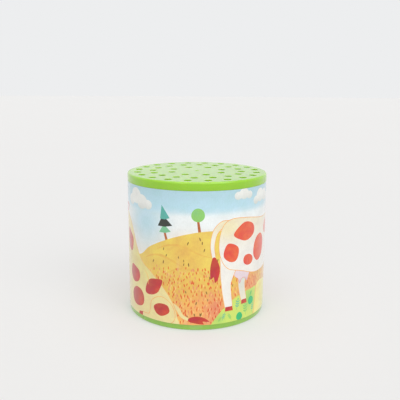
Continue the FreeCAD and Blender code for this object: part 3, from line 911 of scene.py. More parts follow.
class Finish:
    """A procedural material; each kind fills in its own nodes."""

    name: str

    def material(self) -> bpy.types.Material:
        """The material, built the first time it is asked for.

        Returns:
            The material.
        """
        made = bpy.data.materials.get(self.name)
        if made:
            return made
        made = bpy.data.materials.new(self.name)
        made.use_nodes = True
        made.node_tree.nodes.clear()
        graph = Graph(made.node_tree)
        shader = graph.add("ShaderNodeBsdfPrincipled")
        graph.add("ShaderNodeOutputMaterial", {"Surface": shader.outputs[0]})
        self.fill(graph, shader, graph.add("ShaderNodeTexCoord").outputs["Object"])
        return made

    def fill(self, graph: Graph, shader: bpy.types.Node, place: bpy.types.NodeSocket) -> None:
        """Joins colour, roughness and bump to the shader."""
        raise NotImplementedError

    @staticmethod
    def tone(graph: Graph, place: object, pair: tuple[Colour, Colour], scale: float, amount: float,
             speckle: float) -> bpy.types.NodeSocket:
        """Base colour that drifts between two.

        Args:
            graph: The material's tree.
            place: Coordinates.
            pair: The two colours.
            scale: How many drifts there are in a metre.
            amount: How far it goes towards the second.
            speckle: Strength of the fine speckle.

        Returns:
            The colour.
        """
        colour, other = (with_alpha(one) for one in pair)
        return ToneDrift.use(graph, {"Vector": place, "Colour": colour, "Other Colour": other, "Scale": scale,
                                     "Amount": amount, "Speckle": speckle}).outputs[0]

    @staticmethod
    def bump(graph: Graph, shader: bpy.types.Node, height: object, strength: float, distance: float) -> None:
        """Raises the surface by a height pattern."""
        node = graph.add("ShaderNodeBump", {"Height": height, "Strength": strength, "Distance": distance})
        graph.feed(shader.inputs["Normal"], node.outputs[0])

    def dress(self, obj: bpy.types.Object) -> bpy.types.Object:
        """Puts the material on an object.

        Args:
            obj: The object.

        Returns:
            The same object.
        """
        if not obj.material_slots:
            obj.data.materials.append(self.material())
        for held in obj.material_slots:
            held.material = self.material()
        return obj


@dataclass(frozen=True)
class MouldedPlastic(Finish):
    """Injection-moulded plastic with a satin skin that lets a little light in."""

    name: str
    colour: Colour
    other: Colour
    roughness: float = 0.34
    glow: float = 0.12
    coat: float = 0.0
    wear: float = 0.3

    def fill(self, graph: Graph, shader: bpy.types.Node, place: bpy.types.NodeSocket) -> None:
        """Plastic nodes.

        Args:
            graph: The material's tree.
            shader: Its shader.
            place: Coordinates on the object.
        """
        tone = self.tone(graph, place, (self.colour, self.other), 32.0, 0.8, 0.02)
        marks = HandlingMarks.use(graph, {"Vector": place, "Roughness": self.roughness, "Rubbing": 0.10,
                                          "Scratches": self.wear})
        pale = mixed(self.colour, Ink.WHITE.value, 0.45)
        scuffed = graph.blend(graph.maths("MULTIPLY", marks.outputs["Scratch"], 0.35), tone, with_alpha(pale))
        dusty = graph.blend(graph.maths("MULTIPLY", marks.outputs["Dust"], 0.30), scuffed, DUST)
        graph.set(shader, {"Base Color": dusty, "Roughness": marks.outputs["Roughness"], "IOR": 1.42,
                           "Subsurface Weight": self.glow, "Subsurface Radius": (1.3, 1.0, 0.35),
                           "Subsurface Scale": 3.0 * MM, "Coat Weight": self.coat, "Coat Roughness": 0.18,
                           "Coat IOR": 1.5})
        grain = FineGrain.use(graph, {"Vector": place, "Grain Scale": 2600.0, "Wave Scale": 45.0,
                                      "Wave": 1.6})
        self.bump(graph, shader, grain.outputs[0], 0.10, 0.05 * MM)


@dataclass(frozen=True)
class LaminatedPrint(Finish):
    """Offset print on paper under a clear film."""

    name: str = "laminated_print"
    ink: str = "ink"

    def fill(self, graph: Graph, shader: bpy.types.Node, place: bpy.types.NodeSocket) -> None:
        """Print nodes: the ink attribute, brushed and mottled as gouache is, under a glossy coat.

        Args:
            graph: The material's tree.
            shader: Its shader.
            place: Coordinates on the object.
        """
        ink = graph.add("ShaderNodeAttribute", attribute_type="GEOMETRY",
                        attribute_name=self.ink).outputs["Color"]
        wrap = graph.add("ShaderNodeUVMap", uv_map="wrap").outputs[0]
        brush = graph.noise(graph.stretched(wrap, 500.0, 42.0, 1.0), 1.0, 4.0, 0.6, 0.6)
        bloom = graph.noise(graph.stretched(wrap, 40.0, 12.0, 1.0), 1.0, 3.0, 0.6, 0.4)
        sponge = graph.noise(graph.stretched(wrap, 420.0, 122.0, 1.0), 1.0, 3.0, 0.7)
        value = graph.spread(brush, 0.3, 0.7, -0.035, 0.035)
        for pattern, reach in ((bloom, 0.05), (sponge, 0.03)):
            value = graph.maths("ADD", value, graph.spread(pattern, 0.3, 0.7, -reach, reach))
        warm = graph.spread(bloom, 0.35, 0.65, 0.492, 0.508)
        painted = graph.add("ShaderNodeHueSaturation", {"Hue": warm, "Value": graph.maths("ADD", value, 1.0),
                                                        "Color": ink})
        marks = HandlingMarks.use(graph, {"Vector": place, "Roughness": 0.30, "Rubbing": 0.06,
                                          "Scratches": 0.35})
        scratch = graph.maths("MULTIPLY", marks.outputs["Scratch"], 0.3)
        graph.set(shader, {"Base Color": graph.blend(scratch, painted.outputs[0], SCUFFED_PAPER),
                           "Roughness": marks.outputs["Roughness"], "IOR": 1.50, "Coat Weight": 1.0,
                           "Coat Roughness": 0.12})
        grain = FineGrain.use(graph, {"Vector": place, "Grain Scale": 1500.0, "Wave Scale": 110.0,
                                      "Wave": 2.2})
        self.bump(graph, shader, grain.outputs[0], 0.10, 0.05 * MM)


@dataclass(frozen=True)
class WoundBoard(Finish):
    """Grey-brown paperboard wound in a spiral."""

    name: str = "wound_board"
    strip: float = 32.0 * MM

    def fill(self, graph: Graph, shader: bpy.types.Node, place: bpy.types.NodeSocket) -> None:
        """Board nodes: fibres, flecks and the helical joint between strips.

        Args:
            graph: The material's tree.
            shader: Its shader.
            place: Coordinates on the object.
        """
        split = graph.add("ShaderNodeSeparateXYZ", {0: place}).outputs
        angle = graph.maths("DIVIDE", graph.maths("ARCTAN2", split[1], split[0]), TURN)
        turns = graph.maths("ADD", graph.maths("DIVIDE", split[2], self.strip), angle)
        across = graph.maths("ABSOLUTE", graph.maths("SUBTRACT", graph.maths("FRACT", turns), 0.5))
        joint = graph.spread(across, 0.488, 0.498)
        tone = self.tone(graph, place, (linear(176, 158, 132), linear(156, 138, 112)), 70.0, 0.9, 0.10)
        fibre = graph.noise(graph.stretched(place, 500.0, 500.0, 2600.0), 1.0, 3.0, 0.65)
        flecks = graph.spread(fibre, 0.55, 0.75, 0.0, 0.35)
        colour = graph.blend(flecks, tone, with_alpha(linear(118, 100, 78)))
        graph.set(shader, {"Base Color": graph.blend(joint, colour, with_alpha(linear(86, 72, 56))),
                           "Roughness": graph.spread(fibre, 0.3, 0.7, 0.82, 0.95)})
        height = graph.maths("SUBTRACT", fibre, graph.maths("MULTIPLY", joint, 2.0))
        self.bump(graph, shader, height, 0.35, 0.12 * MM)


@dataclass(frozen=True)
class OpenFoam(Finish):
    """Open-celled foam."""

    name: str = "open_foam"

    def fill(self, graph: Graph, shader: bpy.types.Node, place: bpy.types.NodeSocket) -> None:
        """Foam nodes: round cells with soft walls, each cell's hollow middle painted dark as shade.

        Args:
            graph: The material's tree.
            shader: Its shader.
            place: Coordinates on the object.
        """
        cells = graph.add("ShaderNodeTexVoronoi", {"Vector": place, "Scale": 1500.0}).outputs["Distance"]
        tone = self.tone(graph, place, (linear(92, 94, 98), linear(70, 72, 76)), 90.0, 0.8, 0.08)
        # Near-black in each cell's middle is painted shade in the pores; the same mask gives the walls' bump
        # height.
        cell_walls_and_pit_shade = graph.spread(cells, 0.05, 0.45)
        graph.set(shader, {"Base Color": graph.blend(cell_walls_and_pit_shade, with_alpha(linear(34, 34, 38)), tone),
                           "Roughness": graph.spread(cells, 0.0, 0.6, 0.98, 0.86), "Sheen Weight": 0.2})
        self.bump(graph, shader, cell_walls_and_pit_shade, 0.7, 0.25 * MM)


@dataclass(frozen=True)
class ThinFilm(Finish):
    """Milky plastic film of the bellows."""

    name: str = "milky_film"

    def fill(self, graph: Graph, shader: bpy.types.Node, place: bpy.types.NodeSocket) -> None:
        """Film nodes: creased, dull at the folds.

        Args:
            graph: The material's tree.
            shader: Its shader.
            place: Coordinates on the object.
        """
        crease = graph.noise(graph.stretched(place, 300.0, 300.0, 700.0), 1.0, 4.0, 0.6, 1.2)
        tone = self.tone(graph, place, (linear(226, 224, 214), linear(206, 202, 188)), 80.0, 0.8, 0.03)
        graph.set(shader, {"Base Color": tone, "Roughness": graph.spread(crease, 0.3, 0.7, 0.28, 0.5),
                           "Subsurface Weight": 0.5, "Subsurface Scale": 0.6 * MM})
        self.bump(graph, shader, crease, 0.4, 0.15 * MM)


@dataclass(frozen=True)
class BareMetal(Finish):
    """Metal that is drawn, rolled or cast."""

    name: str
    colour: Colour
    other: Colour
    roughness: float
    stretch: tuple[float, float, float]
    metallic: float = 1.0
    relief: float = 0.02 * MM

    def fill(self, graph: Graph, shader: bpy.types.Node, place: bpy.types.NodeSocket) -> None:
        """Metal nodes: grain that runs one way, with a dull bloom in patches.

        Args:
            graph: The material's tree.
            shader: Its shader.
            place: Coordinates on the object.
        """
        grain = graph.noise(graph.stretched(place, *self.stretch), 1.0, 4.0, 0.65)
        bloom = graph.spread(graph.noise(place, 160.0, 4.0, 0.6), 0.4, 0.7)
        base = graph.spread(grain, 0.3, 0.7, self.roughness - 0.06, self.roughness + 0.10)
        graph.set(shader, {
            "Base Color": self.tone(graph, place, (self.colour, self.other), 110.0, 0.9, 0.05),
            "Roughness": graph.maths("ADD", base, graph.maths("MULTIPLY", bloom, 0.15), True),
            "Metallic": graph.spread(bloom, 0.0, 1.0, self.metallic, self.metallic * 0.85)})
        self.bump(graph, shader, grain, 0.35, self.relief)


@dataclass(frozen=True)
class SoftRubber(Finish):
    """Dull elastomer of the valve ring."""

    name: str = "valve_elastomer"

    def fill(self, graph: Graph, shader: bpy.types.Node, place: bpy.types.NodeSocket) -> None:
        """Rubber nodes: talc in the pores.

        Args:
            graph: The material's tree.
            shader: Its shader.
            place: Coordinates on the object.
        """
        marks = HandlingMarks.use(graph, {"Vector": place, "Roughness": 0.68, "Rubbing": 0.12,
                                          "Scratches": 0.0})
        graph.set(shader, {
            "Base Color": self.tone(graph, place, (linear(52, 50, 52), linear(84, 82, 82)), 150.0, 0.6, 0.12),
            "Roughness": marks.outputs["Roughness"]})
        grain = FineGrain.use(graph, {"Vector": place, "Grain Scale": 3500.0, "Wave Scale": 200.0,
                                      "Wave": 0.6})
        self.bump(graph, shader, grain.outputs[0], 0.35, 0.05 * MM)


@dataclass(frozen=True)
class PlainWood(Finish):
    """Pale close-grained wood of the reed wedge, with its grain along +Z."""

    name: str = "wedge_beech"

    def fill(self, graph: Graph, shader: bpy.types.Node, place: bpy.types.NodeSocket) -> None:
        """Wood nodes: rings and short dark flecks.

        Args:
            graph: The material's tree.
            shader: Its shader.
            place: Coordinates on the object.
        """
        trunk = graph.stretched(place, 900.0, 900.0, 60.0)
        rings = graph.add("ShaderNodeTexWave", {"Vector": trunk, "Scale": 1.0, "Distortion": 4.0,
                                                "Detail": 3.0}).outputs[1]
        pores = graph.noise(graph.stretched(place, 3800.0, 3800.0, 380.0), 1.0, 2.0)
        flecks = graph.spread(pores, 0.62, 0.7)
        colour = graph.blend(rings, with_alpha(linear(222, 188, 140)), with_alpha(linear(200, 160, 110)))
        colour = graph.blend(flecks, colour, with_alpha(linear(142, 100, 62)))
        graph.set(shader, {"Base Color": colour, "Roughness": graph.spread(rings, 0.0, 1.0, 0.55, 0.7)})
        self.bump(graph, shader, rings, 0.3, 0.04 * MM)


LID_GREEN = MouldedPlastic("lid_green", linear(152, 208, 12), linear(144, 201, 8), 0.30, 0.55, 1.0)
BASE_GREEN = MouldedPlastic("base_green", linear(146, 196, 74), linear(138, 190, 68), 0.26, 0.35, 1.0)
GREY_PLASTIC = MouldedPlastic("grey_plastic", linear(150, 152, 154), linear(134, 136, 140), 0.42, 0.0)
NATURAL_PLASTIC = MouldedPlastic("natural_plastic", linear(232, 230, 220), linear(220, 216, 202), 0.36, 0.3)
PRINT = LaminatedPrint()
BOARD = WoundBoard()
FOAM = OpenFoam()
FILM = ThinFilm()
CAST_IRON = BareMetal("cast_iron", linear(116, 112, 108), linear(92, 86, 82), 0.58, (900.0, 900.0, 900.0),
                      0.8, 0.25 * MM)
STEEL = BareMetal("spring_steel", linear(196, 198, 202), linear(170, 172, 178), 0.28, (60.0, 2600.0, 2600.0))
BRASS = BareMetal("reed_brass", linear(222, 184, 104), linear(196, 152, 78), 0.26, (2600.0, 2600.0, 80.0))
RUBBER = SoftRubber()
BEECH = PlainWood()


# ------------------------------------------------------------------------------------ mesh helpers
def new_object(name: str, bm: bmesh.types.BMesh) -> bpy.types.Object:
    """Object at the origin from a finished bmesh.

    Args:
        name: The object's name.
        bm: Its shape; it is freed.

    Returns:
        The object.
    """
    mesh = bpy.data.meshes.new(name)
    bm.to_mesh(mesh)
    bm.free()
    obj = bpy.data.objects.new(name, mesh)
    bpy.context.scene.collection.objects.link(obj)
    return obj


def with_rounds(corners: Sequence[tuple[float, float, float]], closed: bool, steps: int = 5) -> list[Point]:
    """Rounds the corners of a section.

    Args:
        corners: Radius, height and rounding of each corner, in millimetres.
        closed: Whether the section comes back to its first corner.
        steps: Pieces in each round.

    Returns:
        Points of the section.
    """
    count = len(corners)
    section: list[Point] = []
    for k, (x, z, rounding) in enumerate(corners):
        if rounding <= 0.0 or (not closed and k in (0, count - 1)):
            section.append((x, z))
            continue
        here = Vector((x, z))
        back = (Vector(corners[k - 1][:2]) - here).normalized()
        ahead = (Vector(corners[(k + 1) % count][:2]) - here).normalized()
        half = back.angle(ahead) / 2
        middle = here + (back + ahead).normalized() * rounding / math.sin(half)
        a = here + back * rounding / math.tan(half) - middle
        b = here + ahead * rounding / math.tan(half) - middle
        turn = a.angle_signed(b)
        for i in range(steps + 1):
            swing = -turn * i / steps
            c, s = math.cos(swing), math.sin(swing)
            section.append((middle.x + c * a.x - s * a.y, middle.y + s * a.x + c * a.y))
    return section


def turned(name: str, section: Sequence[Point], closed: bool, around: int = 144, sharp: float = 34.0,
           ripple: Callable[[float, float, float], tuple[float, float]] | None = None) -> bpy.types.Object:
    """Piece turned about the Z axis.

    Args:
        name: The object's name.
        section: Radius and height of each point, in millimetres; a radius of 0 is on the axis.
        closed: Whether the section is a loop.
        around: Segments round the axis.
        sharp: Angle in degrees above which an edge stays crisp.
        ripple: Change to a point's radius and height, from its angle, radius and height.

    Returns:
        The object.
    """
    bm = bmesh.new()
    rings: list[list[bmesh.types.BMVert]] = []
    for radius, height in section:
        if radius < 1e-6:
            rings.append([bm.verts.new((0.0, 0.0, height * MM))])
            continue
        ring = []
        for k in range(around):
            a = TURN * k / around
            dr, dz = ripple(a, radius, height) if ripple else (0.0, 0.0)
            r = (radius + dr) * MM
            ring.append(bm.verts.new((r * math.cos(a), r * math.sin(a), (height + dz) * MM)))
        rings.append(ring)
    count = len(rings)
    for k in range(count if closed else count - 1):
        low, high = rings[k], rings[(k + 1) % count]
        for i in range(around):
            j = (i + 1) % around
            corners = [low[i % len(low)], low[j % len(low)], high[j % len(high)], high[i % len(high)]]
            unique = list(dict.fromkeys(corners))
            if len(unique) > 2:
                bm.faces.new(unique)
    bmesh.ops.recalc_face_normals(bm, faces=bm.faces)
    obj = new_object(name, bm)
    smooth(obj, sharp)
    return obj


def smooth(obj: bpy.types.Object, sharp: float) -> None:
    """Smooth shading, with crisp edges above an angle in degrees."""
    obj.data.shade_smooth()
    obj.data.set_sharp_from_angle(angle=math.radians(sharp))


def weighted(obj: bpy.types.Object) -> bpy.types.Object:
    """Keeps flat faces flat next to their small rounded edges.

    Args:
        obj: The object.

    Returns:
        The same object.
    """
    bend = obj.modifiers.new("even_normals", "WEIGHTED_NORMAL")
    bend.keep_sharp = True
    bend.weight = 100
    return obj


def settle(obj: bpy.types.Object) -> bpy.types.Object:
    """Turns what an object's modifiers make into its plain mesh, and takes them away.

    Args:
        obj: The object.

    Returns:
        The same object.
    """
    seen = obj.evaluated_get(bpy.context.evaluated_depsgraph_get())
    mesh = bpy.data.meshes.new_from_object(seen)
    mesh.name = obj.name
    obj.modifiers.clear()
    obj.data = mesh
    return obj


class ShapeTree:
    """A Geometry Nodes tree with named inputs, placed on objects as a modifier."""

    def __init__(self, name: str, inputs: dict[str, str]) -> None:
        """Makes the tree with a shape in and a shape out.

        Args:
            name: The tree's name.
            inputs: Its other inputs and their kinds.
        """
        self.tree = bpy.data.node_groups.new(name, "GeometryNodeTree")
        self.tree.is_modifier = True
        self.sockets: dict[str, str] = {}
        for label, kind in {"Shape": "shape", **inputs, "Finish": "material"}.items():
            socket = self.tree.interface.new_socket(label, in_out="INPUT", socket_type=SOCKETS[kind])
            self.sockets[label] = socket.identifier
        self.tree.interface.new_socket("Shape", in_out="OUTPUT", socket_type=SOCKETS["shape"])
        self.graph = Graph(self.tree)
        self.given = self.graph.add("NodeGroupInput").outputs

    def close(self, shape: bpy.types.NodeSocket) -> None:
        """Ends the tree in real faces with their finish.

        Args:
            shape: What the tree has made.
        """
        real = self.graph.add("GeometryNodeRealizeInstances", {0: shape}).outputs[0]
        dressed = self.graph.add("GeometryNodeSetMaterial",
                                 {"Geometry": real, "Material": self.given["Finish"]})
        self.graph.add("NodeGroupOutput", {"Shape": dressed.outputs[0]})

    def place(self, obj: bpy.types.Object, finish: Finish, **values: object) -> None:
        """Puts the tree on an object.

        Args:
            obj: The object.
            finish: Finish of what it makes.
            values: Its inputs' values; a name's underscores stand for spaces.
        """
        modifier = obj.modifiers.new(self.tree.name, "NODES")
        modifier.node_group = self.tree
        for key, value in values.items():
            modifier[self.sockets[key.replace("_", " ").title()]] = value
        modifier[self.sockets["Finish"]] = finish.material()


def ring_of_holes() -> ShapeTree:
    """Tree that cuts a ring of holes with copies of a cutter.

    Returns:
        The tree.
    """
    made = ShapeTree("ring_of_holes", {"Cutter": "object", "Ring Radius": "value", "Holes": "whole",
                                       "First Angle": "value"})
    graph, given = made.graph, made.given
    places = graph.add("GeometryNodeMeshCircle", {"Vertices": given["Holes"], "Radius": given["Ring Radius"]})
    turn = graph.add("ShaderNodeCombineXYZ", {"Z": given["First Angle"]})
    placed = graph.add("GeometryNodeTransform", {"Geometry": places.outputs[0], "Rotation": turn.outputs[0]})
    cutter = graph.add("GeometryNodeObjectInfo", {"Object": given["Cutter"]})
    copies = graph.add("GeometryNodeInstanceOnPoints", {"Points": placed.outputs[0],
                                                        "Instance": cutter.outputs["Geometry"]})
    solid = graph.add("GeometryNodeRealizeInstances", {0: copies.outputs[0]})
    cut = graph.add("GeometryNodeMeshBoolean", {0: given["Shape"], 1: solid.outputs[0]},
                    operation="DIFFERENCE", solver="EXACT")
    made.close(cut.outputs[0])
    return made


def pleated_sleeve() -> ShapeTree:
    """Tree that rolls a grid into a sleeve of folds between two collars, and crumples its film.

    Returns:
        The tree.
    """
    names = ("Collar Radius", "Inner Radius", "Outer Radius", "Foot", "First Fold", "Pitch", "Folds", "Top",
             "Crumple")
    made = ShapeTree("pleated_sleeve", dict.fromkeys(names, "value"))
    graph, given = made.graph, made.given
    collar_rows, fold_rows, around, wrinkle_rate = 3.0, 4.0, 120, 7.0
    rows = graph.maths("ADD", graph.maths("MULTIPLY", given["Folds"], fold_rows), 2.0 * collar_rows)
    grid = graph.add("GeometryNodeMeshGrid", {"Size X": 1.0, "Size Y": 1.0, "Vertices X": around + 1,
                                              "Vertices Y": graph.maths("ADD", rows, 1.0)}).outputs[0]
    split = graph.add("ShaderNodeSeparateXYZ", {0: graph.add("GeometryNodeInputPosition").outputs[0]}).outputs
    angle = graph.maths("MULTIPLY", split[0], TURN)
    row = graph.maths("ROUND", graph.maths("MULTIPLY", graph.maths("ADD", split[1], 0.5), rows))
    fold = graph.maths("DIVIDE", graph.maths("SUBTRACT", row, collar_rows), fold_rows)
    height = graph.maths("ADD", given["First Fold"], graph.maths("MULTIPLY", fold, given["Pitch"]))
    last = graph.maths("ADD", given["First Fold"], graph.maths("MULTIPLY", given["Folds"], given["Pitch"]))
    low = graph.spread(row, 0.0, collar_rows, given["Foot"], given["First Fold"])
    high = graph.spread(graph.maths("SUBTRACT", rows, row), 0.0, collar_rows, given["Top"], last)
    below = graph.maths("LESS_THAN", row, collar_rows - 0.5)
    above = graph.maths("GREATER_THAN", row, graph.maths("SUBTRACT", rows, collar_rows - 0.5))

    def chosen(test: object, otherwise: object, value: object) -> bpy.types.NodeSocket:
        """One value or another by a test."""
        return graph.add("GeometryNodeSwitch", {0: test, 1: otherwise, 2: value},
                         input_type="FLOAT").outputs[0]

    height = chosen(above, chosen(below, height, low), high)
    swing = graph.add("ShaderNodeMapRange", {"Value": graph.maths("PINGPONG", fold, 1.0),
                                             "To Min": given["Inner Radius"],
                                             "To Max": given["Outer Radius"]},
                      interpolation_type="SMOOTHSTEP").outputs[0]
    radius = chosen(graph.maths("MAXIMUM", below, above), swing, given["Collar Radius"])
    around_x, around_y = graph.maths("COSINE", angle), graph.maths("SINE", angle)
    rise = graph.maths("MULTIPLY", height, 40.0)
    spot = graph.add("ShaderNodeCombineXYZ", {0: around_x, 1: around_y, 2: rise})
    wrinkle = graph.noise(spot.outputs[0], wrinkle_rate, 3.0, 0.6)
    inside = graph.maths("SUBTRACT", 1.0, graph.maths("MAXIMUM", below, above))
    push = graph.maths("MULTIPLY", graph.maths("SUBTRACT", wrinkle, 0.5), given["Crumple"])
    radius = graph.maths("ADD", radius, graph.maths("MULTIPLY", push, inside))
    place = graph.add("ShaderNodeCombineXYZ", {0: graph.maths("MULTIPLY", radius, around_x),
                                               1: graph.maths("MULTIPLY", radius, around_y), 2: height})
    rolled = graph.add("GeometryNodeSetPosition", {"Geometry": grid, "Position": place.outputs[0]}).outputs[0]
    joined = graph.add("GeometryNodeMergeByDistance", {"Geometry": rolled, "Distance": 1e-5}).outputs[0]
    made.close(joined)
    return made


def pierced(blank: bpy.types.Object, punch: bpy.types.Object, finish: Finish,
            rings: Iterable[tuple[float, int, float]]) -> bpy.types.Object:
    """Cuts rings of holes in a moulding.

    Args:
        blank: The moulding.
        punch: Shape of one hole on the axis; it is used up.
        finish: The moulding's finish.
        rings: Radius in millimetres, count and first angle in degrees of each ring.

    Returns:
        The moulding.
    """
    tree = ring_of_holes()
    for radius, count, first in rings:
        tree.place(blank, finish, cutter=punch, ring_radius=radius * MM, holes=count,
                   first_angle=math.radians(first))
    settle(blank)
    bpy.data.objects.remove(punch)
    smooth(blank, CRISP)
    return weighted(blank)


# ------------------------------------------------------------------------------------ pieces
def size_of(node: str) -> tuple[float, float, float]:
    """Outer radius, lowest and highest height of a node that is round about Z, in millimetres."""
    low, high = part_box(node)
    return (high[0] - low[0]) / 2 / MM, low[2] / MM, high[2] / MM


def keep(obj: bpy.types.Object, body: str, node: str) -> bpy.types.Object:
    """Ties a piece to its body and the node that it stands for.

    Args:
        obj: The piece.
        body: The body that it moves with.
        node: The node.

    Returns:
        The piece.
    """
    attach(obj, body)
    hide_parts(node)
    LOG.info("made %s: %d faces, on %s", obj.name, len(obj.data.polygons), body)
    return obj


@dataclass
class RoundPiece:
    """A piece that stands for one node that is round about Z; sizes are in millimetres."""

    node: ClassVar[str]
    outer: float
    low: float
    high: float

    @classmethod
    def from_frame(cls) -> Self:
        """The piece at its node's size."""
        return cls(*size_of(cls.node))


@dataclass
class PrintedLabel(RoundPiece):
    """Printed paper wrapped round the tube, its end lapped at the back."""

    node: ClassVar[str] = "printed_label"
    paper: float = 0.25
    lap: float = 8.0
    lap_rise: float = 0.15
    lap_slope: float = 1.5
    pitch: float = 2.2
    seed: int = 5

    @property
    def length(self) -> float:
        """Once round, in millimetres."""
        return TURN * self.outer

    def spot(self, x: float, z: float, depth: float) -> Vector:
        """Place of a point of the flat sheet on the can.

        Args:
            x: Along the wrap from the middle of the front, in millimetres.
            z: Height in millimetres.
            depth: Below the printed face, in millimetres.

        Returns:
            The point in metres.
        """
        half = self.length / 2
        rise = self.lap_rise * soft_step(half - self.lap - self.lap_slope, half - self.lap, x)
        radius = (self.outer + rise - depth) * MM
        angle = x / self.outer
        return Vector((radius * math.sin(angle), -radius * math.cos(angle), z * MM))

    def arrange(self, shapes: Sequence[tuple[list[Point], Wash]]
                ) -> tuple[list[Point], list[tuple[int, ...]], list[int]]:
        """Flattens painted shapes into triangles that don't overlap.

        Args:
            shapes: Outlines in painting order; the first covers everything.

        Returns:
            Points, triangles and the shape that shows in each triangle.
        """
        half = self.length / 2
        points: list[Vector] = []
        faces: list[list[int]] = []
        frame_line = [(-half, self.low), (half, self.low), (half, self.high), (-half, self.high)]
        for outline in [frame_line] + [shape[0] for shape in shapes]:
            ordered = outline if turns_left(outline) else outline[::-1]
            faces.append(list(range(len(points), len(points) + len(ordered))))
            points += [Vector(p) for p in ordered]
        columns = round(self.length / self.pitch)
        rows = round((self.high - self.low) / self.pitch)
        rng = random.Random(self.seed)
        for k in range(1, columns):
            for i in range(1, rows):
                x = -half + self.length * (k + rng.uniform(-0.2, 0.2)) / columns
                z = self.low + (self.high - self.low) * (i + rng.uniform(-0.2, 0.2)) / rows
                points.append(Vector((x, z)))
        edges: list[tuple[int, int]] = []
        for edge_z in (self.low, self.high):
            start = len(points)
            points += [Vector((-half + self.length * k / columns, edge_z)) for k in range(1, columns)]
            edges += [(start + k, start + k + 1) for k in range(columns - 2)]
        found = geometry.delaunay_2d_cdt(points, edges, faces, 1, 1e-4, True)
        flat_points, triangles, owners = found[0], found[2], found[5]
        kept, shown = [], []
        for triangle, owner in zip(triangles, owners):
            if 0 in owner and max(owner) > 0:
                kept.append(tuple(triangle))
                shown.append(max(owner) - 1)
        return [tuple(p) for p in flat_points], kept, shown

    def build(self) -> bpy.types.Object:
        """Makes the wrapped, printed sheet with its white cut edges.

        Returns:
            The sheet.
        """
        shapes = Artwork(self.length, self.low, self.high).paint()
        points, triangles, shown = self.arrange(shapes)
        bm = bmesh.new()
        ink = bm.loops.layers.float_color.new("ink")
        wrap = bm.loops.layers.uv.new("wrap")
        used = sorted({k for triangle in triangles for k in triangle})
        outer = {k: bm.verts.new(self.spot(*points[k], 0.0)) for k in used}
        colours: dict[tuple[int, int], Colour] = {}

        def lay(face: bmesh.types.BMFace, flat_points: Iterable[Point], inks: Iterable[Colour]) -> None:
            """Gives a face its ink and its place on the flat sheet.

            Args:
                face: The face.
                flat_points: Its corners on the flat sheet.
                inks: Their colours.
            """
            for loop, (x, z), colour in zip(face.loops, flat_points, inks):
                loop[ink] = with_alpha(colour)
                loop[wrap].uv = (x / self.length + 0.5, (z - self.low) / (self.high - self.low))

        for triangle, owner in zip(triangles, shown):
            for k in triangle:
                if (owner, k) not in colours:
                    colours[owner, k] = shapes[owner][1].colour(*points[k])
            face = bm.faces.new([outer[k] for k in triangle])
            lay(face, (points[k] for k in triangle), (colours[owner, k] for k in triangle))
        rim = self.rim_of(triangles)
        inner = {k: bm.verts.new(self.spot(*points[k], self.paper)) for k in rim}
        white = Ink.WHITE.value
        for a, b in zip(rim, rim[1:] + rim[:1]):
            corners = [b, a, a, b]
            face = bm.faces.new([outer[b], outer[a], inner[a], inner[b]])
            lay(face, (points[k] for k in corners), [white] * 4)
        loop_points = [Vector(points[k]) for k in rim]
        back = geometry.delaunay_2d_cdt(loop_points, [], [list(range(len(rim)))], 1, 1e-6, True)
        for triangle in back[2]:
            corners = [rim[back[3][k][0]] for k in reversed(triangle)]
            lay(bm.faces.new([inner[k] for k in corners]), (points[k] for k in corners), [white] * 3)
        for face in bm.faces:
            face.smooth = True
        sheet = new_object("wrapped_label", bm)
        self.shade(sheet, len(triangles))
        return sheet

    @staticmethod
    def rim_of(triangles: Sequence[tuple[int, ...]]) -> list[int]:
        """Finds the sheet's edge.

        Args:
            triangles: The sheet's faces, as numbers of points.

        Returns:
            The edge's points, in order.
        """
        sides = {(a, b) for t in triangles for a, b in zip(t, t[1:] + t[:1])}
        after = {a: b for a, b in sides if (b, a) not in sides}
        start = min(after)
        rim = [start]
        while after[rim[-1]] != start:
            rim.append(after[rim[-1]])
        return rim

    @staticmethod
    def shade(obj: bpy.types.Object, outer_faces: int) -> None:
        """Gives the printed face the normals of a true cylinder, and leaves the edges crisp.

        Args:
            obj: The sheet.
            outer_faces: How many of its first faces are printed.
        """
        mesh = obj.data
        normals = []
        for face in mesh.polygons:
            for k in face.vertices:
                if face.index < outer_faces:
                    place = mesh.vertices[k].co
                    normals.append(Vector((place.x, place.y, 0.0)).normalized())
                else:
                    normals.append(face.normal.copy())
        mesh.normals_split_custom_set(normals)

    def make(self) -> None:
        """Builds and dresses the label."""
        keep(PRINT.dress(self.build()), "can", self.node)


